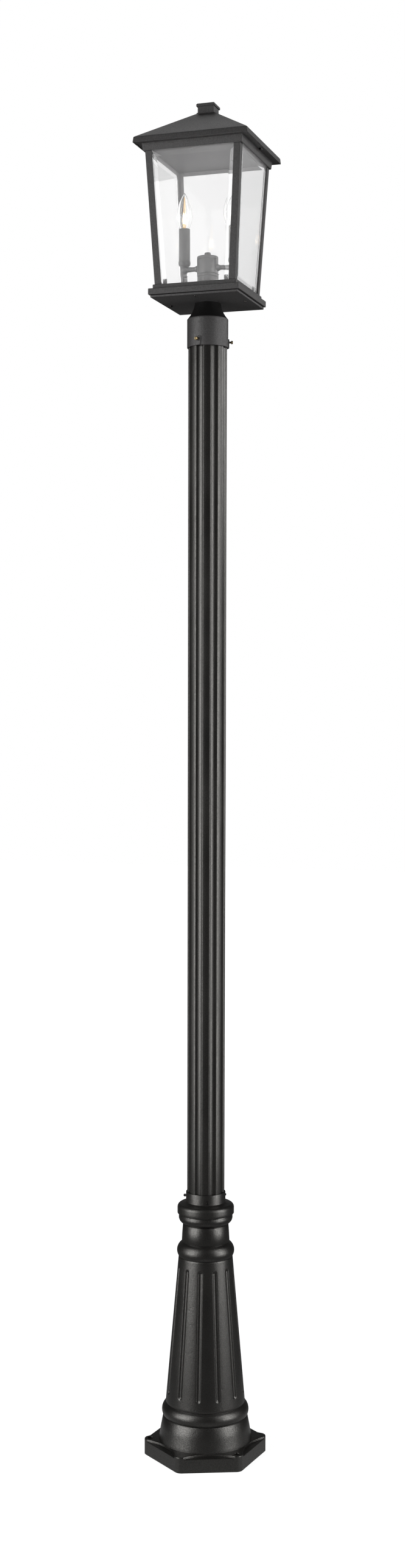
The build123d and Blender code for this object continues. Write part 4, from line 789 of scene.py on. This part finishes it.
# %% [markdown]
# ## The fluted post
# The post is an extruded tube, so one outline says it all: eight round flutes in a
# circle. The flute is a circle centred outside the post. Where the two meet, the
# smaller radius wins, softly, which gives the rolled edge of an extrusion.

# %% Post
POST_R, POST_WALL, POST_FOOT, POST_TOP = 38.1, 2.3, 485, 2294
FLUTES, FLUTE_R, FLUTE_DEPTH, FLUTE_COLUMNS = 8, 13, 3.1, 72
LAND_ANGLE = 16.6 - 90


def post_ring(inset, z, wall=0):
    """One level of the post, drawn in by inset; the wall moves it to the inside face.
    The outline is the soft lesser of a circle p and the flutes' sunk arcs q:
    (p + q - sqrt((p - q)^2 + e^2)) / 2."""
    columns = np.arange(FLUTES * FLUTE_COLUMNS)
    t = (columns / FLUTE_COLUMNS % 1 - 0.5) * 2 * math.pi / FLUTES
    a = columns * 2 * math.pi / (FLUTES * FLUTE_COLUMNS) + math.radians(LAND_ANGLE)
    radius, flute = POST_R - wall, sunk_arc(t, POST_R - FLUTE_DEPTH + FLUTE_R, FLUTE_R + wall)
    r = (radius + flute - np.sqrt((radius - flute) ** 2 + SOFT_EDGE ** 2)) / 2
    return np.stack([(r - inset) * np.cos(a), (r - inset) * np.sin(a), z + 0 * a], axis=-1)


levels = np.linspace(POST_FOOT + 1, POST_TOP - 1, 12)
post_rings = ([post_ring(0.3, POST_FOOT)] + [post_ring(0, z) for z in levels] + [post_ring(0.3, POST_TOP)]
              + [post_ring(0, z, POST_WALL) for z in (POST_TOP, POST_FOOT)])
put_rings("fluted_post", post_rings, "post_black", "post_tube", hollow=True, sharp=60)

# %% [markdown]
# ## The fitter
# The fitter is a cast collar over the post's end. Its skirt is straight, three
# brass screws go through raised pads in it, and above the post it flares inwards
# like a bell to meet the bottom plate.

# %% Fitter
FITTER_RIM, FITTER_R, FITTER_BORE, PLATE_Z = 2239.5, 40.5, 38.4, 2325.5
FITTER_ANGLE = -10 - 90
PAD_HALF_WIDE, PAD_HALF_TALL, PAD_CORNER, PAD_REACH = 6, 8.5, 1.5, 38.45
flare = arc((FITTER_R, POST_TOP), (31.2, 2307), (25.3, PLATE_Z), 18)
fitter_outline = np.concatenate([
    soft_corners([(FITTER_BORE, FITTER_RIM), (FITTER_R, FITTER_RIM), (FITTER_R, POST_TOP - 2)], 0.7),
    [(FITTER_R, POST_TOP - 0.3)], flare[1:],
    [(21, PLATE_Z), (21, 2312.5), (34.2, POST_TOP), (FITTER_BORE, POST_TOP)]])
put_rings("fitter", turned(fitter_outline, count=128), "lantern_black", "fitter_collar", hollow=True,
          sharp=50)


def pad_rings(levels):
    """Rings of the pad, a rounded rectangle: a level (grow, height) has both half sides
    and the corner's radius grown by grow."""
    a, sign_u, sign_v = corner_arcs(4)
    rings = []
    for grow, height in levels:
        c = max(PAD_CORNER + grow, 0.05)
        u = sign_u * (PAD_HALF_WIDE + grow - c) + c * np.cos(a)
        v = sign_v * (PAD_HALF_TALL + grow - c) + c * np.sin(a)
        rings.append(np.stack([u, v, height + 0 * a], axis=-1))
    return np.array(rings)


def facing(rings, angle, reach, z):
    """Stand rings up so that their own height points away from the axis."""
    a = math.radians(angle)
    out, along = np.array([math.cos(a), math.sin(a), 0]), np.array([-math.sin(a), math.cos(a), 0])
    rise = np.array([0, 0, 1])
    return rings[..., :1] * along + rings[..., 1:2] * rise + rings[..., 2:] * out + out * reach + rise * z


pad = pad_rings([(0, 0), (0, 3.2), (-0.3, 3.7), (-0.9, 4)])
for number in range(3):
    rings = facing(pad, FITTER_ANGLE + 120 * number, PAD_REACH, FITTER_RIM + PAD_HALF_TALL)
    put_rings("fitter_pad_%d" % number, rings, "lantern_black", "fitter_collar", weighed=True)

# %% [markdown]
# ## Plate, tray and top frame
# These are flat, square pieces, each a profile carried round a square. The bottom
# plate is thin with a land that the tray sits on; the tray has two steps and a sunk
# floor; the top frame is a leaning band with a flange turned outwards under the
# roof.

# %% Plate, tray and top frame
TRAY_Z, TRAY_TOP, TRAY_FLOOR = 2330.4, 2350.3, 2344.3
CAGE_FOOT_HALF, CAGE_SLOPE = 81.7, 14.3 / 247.9
BAND_Z, FLANGE_Z, FASCIA_Z, EAVES_Z, ROOF_TOP = 2598.2, 2611.9, 2611.1, 2621.5, 2682.5
PAN_Z, PAN_FLANGE_Z = 2605.1, 2613.7
CAGE_TOP = PAN_Z - 0.3
OPENING = 60


def cage_half(z):
    """Outer half width of the cage, which leans outwards as it rises."""
    return CAGE_FOOT_HALF + (z - TRAY_TOP) * CAGE_SLOPE


def put_square(node, profile, corner, hollow=False):
    """Carry a profile round a square and put it in the place of its CAD node."""
    put_rings(node + "_finished", squared(profile, corner), "lantern_black", node, hollow, weighed=True)


put_square("bottom_plate", soft_corners([
    (OPENING, PLATE_Z), (88.5, PLATE_Z), (88.5, 2329.5), (83.5, 2329.5), (83.5, TRAY_Z), (OPENING, TRAY_Z)],
    0.6), 1.6)
put_square("tray", soft_corners([
    (OPENING, 2341.3), (81.9, 2341.3), (81.9, TRAY_Z), (92, TRAY_Z), (92, 2341.9), (84.9, 2341.9),
    (84.9, TRAY_TOP), (79.9, TRAY_TOP), (79.9, TRAY_FLOOR), (OPENING, TRAY_FLOOR)],
    [0, 0.5, 0.5, 0.8, 1.3, 0.8, 1.3, 0.5, 0.5, 0], steps=4), 1.8)
band_inner = cage_half(CAGE_TOP) + 0.4
put_square("top_frame", soft_corners([
    (band_inner, BAND_Z), (99.5, BAND_Z), (101, FLANGE_Z), (112.175, FLANGE_Z), (112.175, PAN_FLANGE_Z),
    (band_inner, PAN_FLANGE_Z)], [0.5, 0.9, 1, 0.5, 0.4, 0.4], closed=True), 1.5, hollow=True)

# %% [markdown]
# ## Corner angles
# Each corner is a strip folded to an L. Its section is an L whose outer corner is
# rounded by the fold, and it is drawn at four heights, each time further out,
# because the cage leans outwards.

# %% Corner angles
ANGLE_LEG, ANGLE_THICK = 13.5, 1.8


def angle_ring(z):
    """Section of the front right corner angle at one height."""
    half = cage_half(z)
    face, leg = half - ANGLE_THICK, half - ANGLE_LEG
    section = soft_corners([
        (half, -half), (half, -half + ANGLE_LEG), (face, -half + ANGLE_LEG), (face, -half + ANGLE_THICK),
        (leg, -half + ANGLE_THICK), (leg, -half)], [1.1, 0.45, 0.45, 0.5, 0.45, 0.45], steps=4, closed=True)
    return np.column_stack([section, np.full(len(section), z)])


angle_rings = np.array([angle_ring(z) for z in np.linspace(TRAY_TOP, CAGE_TOP, 4)])
for turns, corner in enumerate(("front_right", "back_right", "back_left", "front_left")):
    put_rings("corner_" + corner, quarter_turned(angle_rings, turns), "lantern_black",
              "corner_angle_" + corner, weighed=True)

# %% [markdown]
# ## Roof and finial
# The roof is one casting, hollow below: an upright fascia, four slopes and a small
# flat top under the finial. The finial is a square neck between a foot and a cap.

# %% Roof, ceiling pan and finial
PAN_SHEET = 1.2
put_square("roof", soft_corners([
    (14.6, ROOF_TOP - 4), (111.7, EAVES_Z - 1), (113, FASCIA_Z), (115, FASCIA_Z), (113.7, EAVES_Z),
    (18.6, ROOF_TOP), (6, ROOF_TOP)], [0, 1, 0.5, 0.6, 1.6, 0.8, 0], steps=4), 1.6)
pan_half = band_inner - 0.5
put_square("ceiling_pan", soft_corners([
    (OPENING, PAN_Z), (pan_half, PAN_Z), (pan_half, PAN_FLANGE_Z), (111.575, PAN_FLANGE_Z), (111.575, 2614.7),
    (pan_half - PAN_SHEET, 2614.7), (pan_half - PAN_SHEET, PAN_Z + PAN_SHEET), (OPENING, PAN_Z + PAN_SHEET)],
    [0, 1.6, 0.8, 0.3, 0.3, 0.8, 0.8, 0], steps=4), 3)
FINIAL_NECK, FINIAL_CAP = ROOF_TOP + 1.8, ROOF_TOP + 13.8
put_square("finial", soft_corners([
    (4, ROOF_TOP), (18.2, ROOF_TOP), (18.2, FINIAL_NECK), (16.4, FINIAL_NECK), (16.4, FINIAL_CAP),
    (18.6, FINIAL_CAP), (18.6, FINIAL_CAP + 4.2), (17, FINIAL_CAP + 5.8), (4, FINIAL_CAP + 5.8)],
    [0, 0.3, 0.5, 0.6, 0.6, 0.5, 0.5, 0.6, 0], steps=4), 1.2)

# %% [markdown]
# ## Bevelled glass
# Each pane is a sheet ground down to a thin edge along a 17 mm bevel, which is what
# bends the view near the frame. The facets are flat and their edges crisp, so the
# shading stays flat. One pane is drawn on a plane that leans with the cage, and the
# others are turns of it.

# %% Panes
GLASS_THICK, GLASS_EDGE, BEVEL, GLASS_GAP = 4, 1.6, 17, 0.3
lean = math.atan(CAGE_SLOPE)
pane_foot, pane_top = TRAY_FLOOR + GLASS_GAP, PAN_Z - 0.6
pane_reach = cage_half(pane_foot) - ANGLE_THICK - GLASS_GAP
pane_height = (pane_top - pane_foot) / math.cos(lean) - GLASS_THICK * math.tan(lean)
foot_width = pane_reach - GLASS_THICK - GLASS_GAP
top_width = foot_width + pane_height * math.sin(lean)
out_way = np.array([0, -math.cos(lean), -math.sin(lean)])
up_way = np.array([0, -math.sin(lean), math.cos(lean)])
pane_origin = np.array([0, -pane_reach, pane_foot])


def pane_ring(inset, depth):
    """The pane's outline drawn in by inset, at a depth behind its outer face."""
    low, high = foot_width - inset, top_width - inset
    outline = [(-low, inset), (low, inset), (high, pane_height - inset), (-high, pane_height - inset)]
    return [pane_origin + np.array([x, 0, 0]) + up_way * y - out_way * depth for x, y in outline]


pane_rings = np.array([
    pane_ring(0.3, GLASS_THICK), pane_ring(0, GLASS_THICK - 0.3),
    pane_ring(0, GLASS_THICK - GLASS_EDGE + 0.2), pane_ring(0.2, GLASS_THICK - GLASS_EDGE),
    pane_ring(BEVEL, 0)])
for turns, way_name in enumerate(("front", "right", "back", "left")):
    put_rings(way_name + "_bevelled_pane", quarter_turned(pane_rings, turns), "clear_glass",
              way_name + "_pane", flat=True)
print("pane: %.1f mm high, %.1f to %.1f mm wide" % (pane_height, 2 * foot_width, 2 * top_width))

# %% [markdown]
# ## Hub, arms and candles
# The lamp cluster is turned work: a drum in three parts on the tray's floor, an arm
# to each side, a ball knuckle, and a cup that holds the candle sleeve. All of it is
# profiles turned round one of three upright axes, or round the arm's level one.

# %% Hub
HUB_Z, HUB_CAP_Z, CAP_NUT_Z = 2368.5, 2408.5, 2414.5
HUB_R, HUB_BORE, HUB_SEAM_R, TUBE_BORE, CAP_NUT_R = 20.8, 18.8, 19.9, 4.9, 6.4


def put_turned(node, profile, hollow=True, **how):
    """Turn a profile round the light's own axis and put it in the place of its CAD node."""
    put_rings(node + "_finished", turned(profile, **how), "cluster_black", node, hollow)


put_turned("hub_foot", soft_corners([
    (TUBE_BORE, TRAY_FLOOR), (21.4, TRAY_FLOOR), (21.4, HUB_Z), (HUB_BORE, HUB_Z), (HUB_BORE, TRAY_FLOOR + 2),
    (TUBE_BORE, TRAY_FLOOR + 2)], 0.45, closed=True))
put_turned("hub_body", soft_corners([
    (HUB_BORE, HUB_Z), (HUB_R, HUB_Z), (HUB_R, HUB_Z + 11), (HUB_SEAM_R, HUB_Z + 12), (HUB_R, HUB_Z + 13),
    (HUB_R, HUB_CAP_Z), (HUB_BORE, HUB_CAP_Z)], [0.3, 0.9, 0.2, 0.2, 0.2, 0.9, 0.3], closed=True))
put_turned("hub_cap", soft_corners([
    (TUBE_BORE, HUB_CAP_Z + 3), (HUB_BORE, HUB_CAP_Z + 3), (HUB_BORE, HUB_CAP_Z), (HUB_R, HUB_CAP_Z),
    (HUB_R, CAP_NUT_Z), (TUBE_BORE, CAP_NUT_Z)], [0.3, 0.3, 0.3, 0.9, 1.8, 0.3], steps=5, closed=True))
put_turned("cap_nut", soft_corners([
    (0, CAP_NUT_Z), (CAP_NUT_R, CAP_NUT_Z), (CAP_NUT_R, CAP_NUT_Z + 8), (0, CAP_NUT_Z + 8)],
    [0, 0.3, 2.8, 0], steps=6), hollow=False, count=48)

# %% Lamps
ARM_Z = HUB_Z + 24
LAMP_REACH, BALL_R = 48, 8
CUP_Z, CUP_TOP, SLEEVE_Z, SLEEVE_TOP = 2397, 2408.5, 2405.5, 2470.5
SIDES = (("left", -1), ("right", 1))


def along_arm(profile, way):
    """Rings turned round the arm's level axis: (r, x) goes to (way x, r cos a, z + r sin a)."""
    profile = np.asarray(profile, float)
    a = full_turn(56)
    r, x = profile[:, :1], profile[:, 1:]
    return np.stack([way * (x + 0 * a), way * r * np.cos(a), ARM_Z + r * np.sin(a)], axis=-1)


ball = arc((5, LAMP_REACH - 6.3), (BALL_R, LAMP_REACH), (1, LAMP_REACH + 7.94), 22)
knuckle = np.concatenate([
    [(4.45, LAMP_REACH - 15), (4.9, LAMP_REACH - 14.6), (4.9, LAMP_REACH - 6.9)], ball,
    [(0, LAMP_REACH + BALL_R)]])
arm = soft_corners([
    (4.4, 17), (6.6, 17), (7, 19.8), (7, 20.8), (5, 25.4), (4.4, 25.8), (4.4, 40), (3.2, 40),
    (3.2, 17)], 0.4, closed=True)
cup_side = flowing([(6.6, CUP_Z + 1), (10.4, CUP_Z + 3.3), (11.9, CUP_TOP - 3.6)], (1, 0.15), (0.1, 1), 6)
cup = np.concatenate([
    [(4.9, CUP_Z), (6.3, CUP_Z), (6.6, CUP_Z + 0.3)], cup_side,
    [(11.9, CUP_TOP - 0.5), (11.5, CUP_TOP), (11.1, CUP_TOP), (11.1, SLEEVE_Z), (4.9, SLEEVE_Z)]])
sleeve = soft_corners([
    (10, SLEEVE_Z), (11, SLEEVE_Z), (11, SLEEVE_TOP), (10, SLEEVE_TOP)], [0.1, 0.1, 0.5, 0.5], closed=True)
socket = np.concatenate([
    [(0, 2435.5), (3.2, 2435.5), (3.2, 2424), (4.9, 2424)],
    soft_corners([(4.9, 2420.5), (9.7, 2420.5), (9.7, 2466.5), (6.8, 2466.5), (6.8, 2437.5), (0, 2437.5)],
                 [0, 0.4, 0.4, 0.4, 0, 0])])
for hand, way in SIDES:
    x = way * LAMP_REACH
    knuckle_rings = along_arm(knuckle, way)
    knuckle_rings[..., 2] = np.minimum(knuckle_rings[..., 2], CUP_Z)
    for name, rings, slot, node, hollow in (
        ("arm", along_arm(arm, way), "cluster_black", "arm", True),
        ("knuckle", knuckle_rings, "cluster_black", "knuckle", False),
        ("cup", turned(cup, x, 64), "cluster_black", "candle_cup", True),
        ("sleeve", turned(sleeve, x, 72), "cluster_black", "candle_sleeve", True),
        ("socket", turned(socket, x, 56), "socket_plastic", "socket_body", False),
    ):
        put_rings(hand + "_" + name + "_finished", rings, slot, hand + "_" + node, hollow)

# %% [markdown]
# ## Bulbs
# A candle bulb is a pointed bubble of thin glass on a narrow neck. The outside and
# the inside are nearly the same flowing line, one wall apart, so light bends twice
# at the rim and hardly at all in the middle, and only its edges show. The inside is
# pulled down a little at the tip, where the real glass is sealed and thicker.

# %% Bulb glass
BULB_WALL, BULB_NECK_Z, BULB_FOOT_R, BULB_COLUMNS = 0.7, 2463.6, 5, 72
outline = [(r, BULB_NECK_Z + rise) for r, rise in (
    (BULB_FOOT_R, 0), (8.3, 5.5), (12.9, 16), (15.4, 28), (15, 40), (12, 52), (7.6, 63),
    (2.9, 72.6), (0, 76.5))]


def inside_of(r, z):
    """The point of the inner wall that goes with a point of the bulb's outline."""
    if not r:
        return 0, z + BULB_WALL / 2 - 0.8 - 1.4
    return r - BULB_WALL, z + (BULB_WALL / 2 if r < 9 else 0) - (0.8 if r < 3 else 0)


foot = BULB_NECK_Z - 4
glass_outside = np.concatenate([
    [(0, foot), (4.6, foot), (BULB_FOOT_R, foot + 0.4)], flowing(outline, (0.2, 1), (-1, 0.7), 7)])
glass_inside = np.concatenate([
    [(0, foot + BULB_WALL), (BULB_FOOT_R - BULB_WALL, foot + BULB_WALL)],
    flowing([inside_of(r, z) for r, z in outline], (0.2, 1), (-1, 0.5), 7)])
for hand, way in SIDES:
    name = hand + "_bulb_glass_finished"
    outer = ring_mesh(name, turned(glass_outside, way * LAMP_REACH, BULB_COLUMNS))
    inner = ring_mesh(name + "_inside", turned(glass_inside, way * LAMP_REACH, BULB_COLUMNS))
    inner.flip_normals()
    both = bmesh.new()
    both.from_mesh(outer)
    both.from_mesh(inner)
    both.to_mesh(outer)
    both.free()
    bpy.data.meshes.remove(inner)
    put(name, outer, "bulb_glass", [hand + "_bulb_glass"], sharp=80)

# %% [markdown]
# The filament wire climbs to the tip and comes down again four times round. Its path
# is one closed line, and the wire is a tube of small circles along it.

# %% Filament wire
WIRE_R, LOOPS, WIRE_LOW, WIRE_HIGH = 0.32, 4, 2470.6, 2531.4


def wire(path):
    """Tube along a closed path: at each point a circle across the path's own way,
    built on the point's direction from the middle of the path."""
    way = np.roll(path, -1, axis=0) - np.roll(path, 1, axis=0)
    way /= np.linalg.norm(way, axis=1, keepdims=True)
    outwards = path - path.mean(axis=0)
    first = np.cross(way, outwards)
    first /= np.linalg.norm(first, axis=1, keepdims=True)
    second = np.cross(way, first)
    a = full_turn(8)[None, :, None]
    return path[:, None] + WIRE_R * (np.cos(a) * first[:, None] + np.sin(a) * second[:, None])


s = np.linspace(0, 1, LOOPS * 48, endpoint=False)
climb = 0.5 - 0.5 * np.cos(2 * np.pi * LOOPS * s)
spread = np.interp(climb, [0, 0.18, 0.34, 0.52, 0.75, 1], [2.3, 3.5, 3.9, 2.3, 1.3, 0.7])
round_it = 2 * np.pi * s + 0.35 * np.sin(2 * np.pi * LOOPS * s)
for hand, way in SIDES:
    path = np.stack([way * LAMP_REACH + spread * np.cos(round_it), spread * np.sin(round_it),
                     WIRE_LOW + (WIRE_HIGH - WIRE_LOW) * climb], axis=1)
    put_rings(hand + "_filament_wire", wire(path), "filament", hand + "_bulb_filament",
              hollow=True, sharp=80)

# %% [markdown]
# ## Small fasteners and fittings
# Screws, clips and nuts keep the shapes that the CAD gives them, which already have
# their slots and threads. Their edges are sharp there, so each gets a merged copy
# with a small bevel that catches light. Wires and contacts hardly show and only
# need their finish.

# %% Softened copies
EDGE_ANGLE = 35


def softened(node, slot, width):
    """Copy a CAD mesh, merge its loose triangles and flat faces, and bevel its edges."""
    mesh = frame["nodes"][node].data.copy()
    work = bmesh.new()
    work.from_mesh(mesh)
    bmesh.ops.remove_doubles(work, verts=work.verts, dist=0.002 * MM)
    bmesh.ops.dissolve_limit(work, angle_limit=math.radians(1), verts=work.verts, edges=work.edges)
    work.to_mesh(mesh)
    work.free()
    mesh.name = node + "_softened"
    made = put(node + "_softened", mesh, slot, [node], sharp=EDGE_ANGLE)
    bevel = made.modifiers.new("soft_edges", "BEVEL")
    bevel.width = width * MM
    bevel.segments = 2
    bevel.limit_method = "ANGLE"
    bevel.angle_limit = math.radians(EDGE_ANGLE)
    bevel.harden_normals = True
    weigh_normals(made)


for node, slot, width in (
    ("base_collar_screws", "black_screw", 0.25), ("fitter_screws", "brass_screw", 0.2),
    ("plate_screws", "black_screw", 0.2), ("soffit_screws", "black_screw", 0.2),
    ("glass_clips", "lantern_black", 0.2), ("fitter_nut", "zinc_steel", 0.3),
    ("finial_nut", "zinc_steel", 0.3), ("ground_screw", "ground_green", 0.25),
):
    softened(node, slot, width)

# %% Finishes for what stays as in the CAD
slot_of_node = {
    "finial_stud": "zinc_steel", "threaded_tube": "zinc_steel", "wire_connectors": "connector_plastic",
    "lamp_leads": "wire_insulation",
}
for piece, slot in (
    ("_socket_stem", "zinc_steel"), ("_socket_shell", "brass_shell"), ("_socket_contact", "brass_shell"),
    ("_bulb_shell", "nickel_shell"), ("_bulb_contact", "bulb_insulator"), ("_bulb_mount", "bulb_glass"),
):
    slot_of_node.update({"left" + piece: slot, "right" + piece: slot})
for node, slot in slot_of_node.items():
    mesh = frame["nodes"][node].data
    mesh.materials.clear()
    mesh.materials.append(finishes[slot])
print("shown as in the CAD:", sorted(name for name, o in frame["nodes"].items() if not o.hide_render))
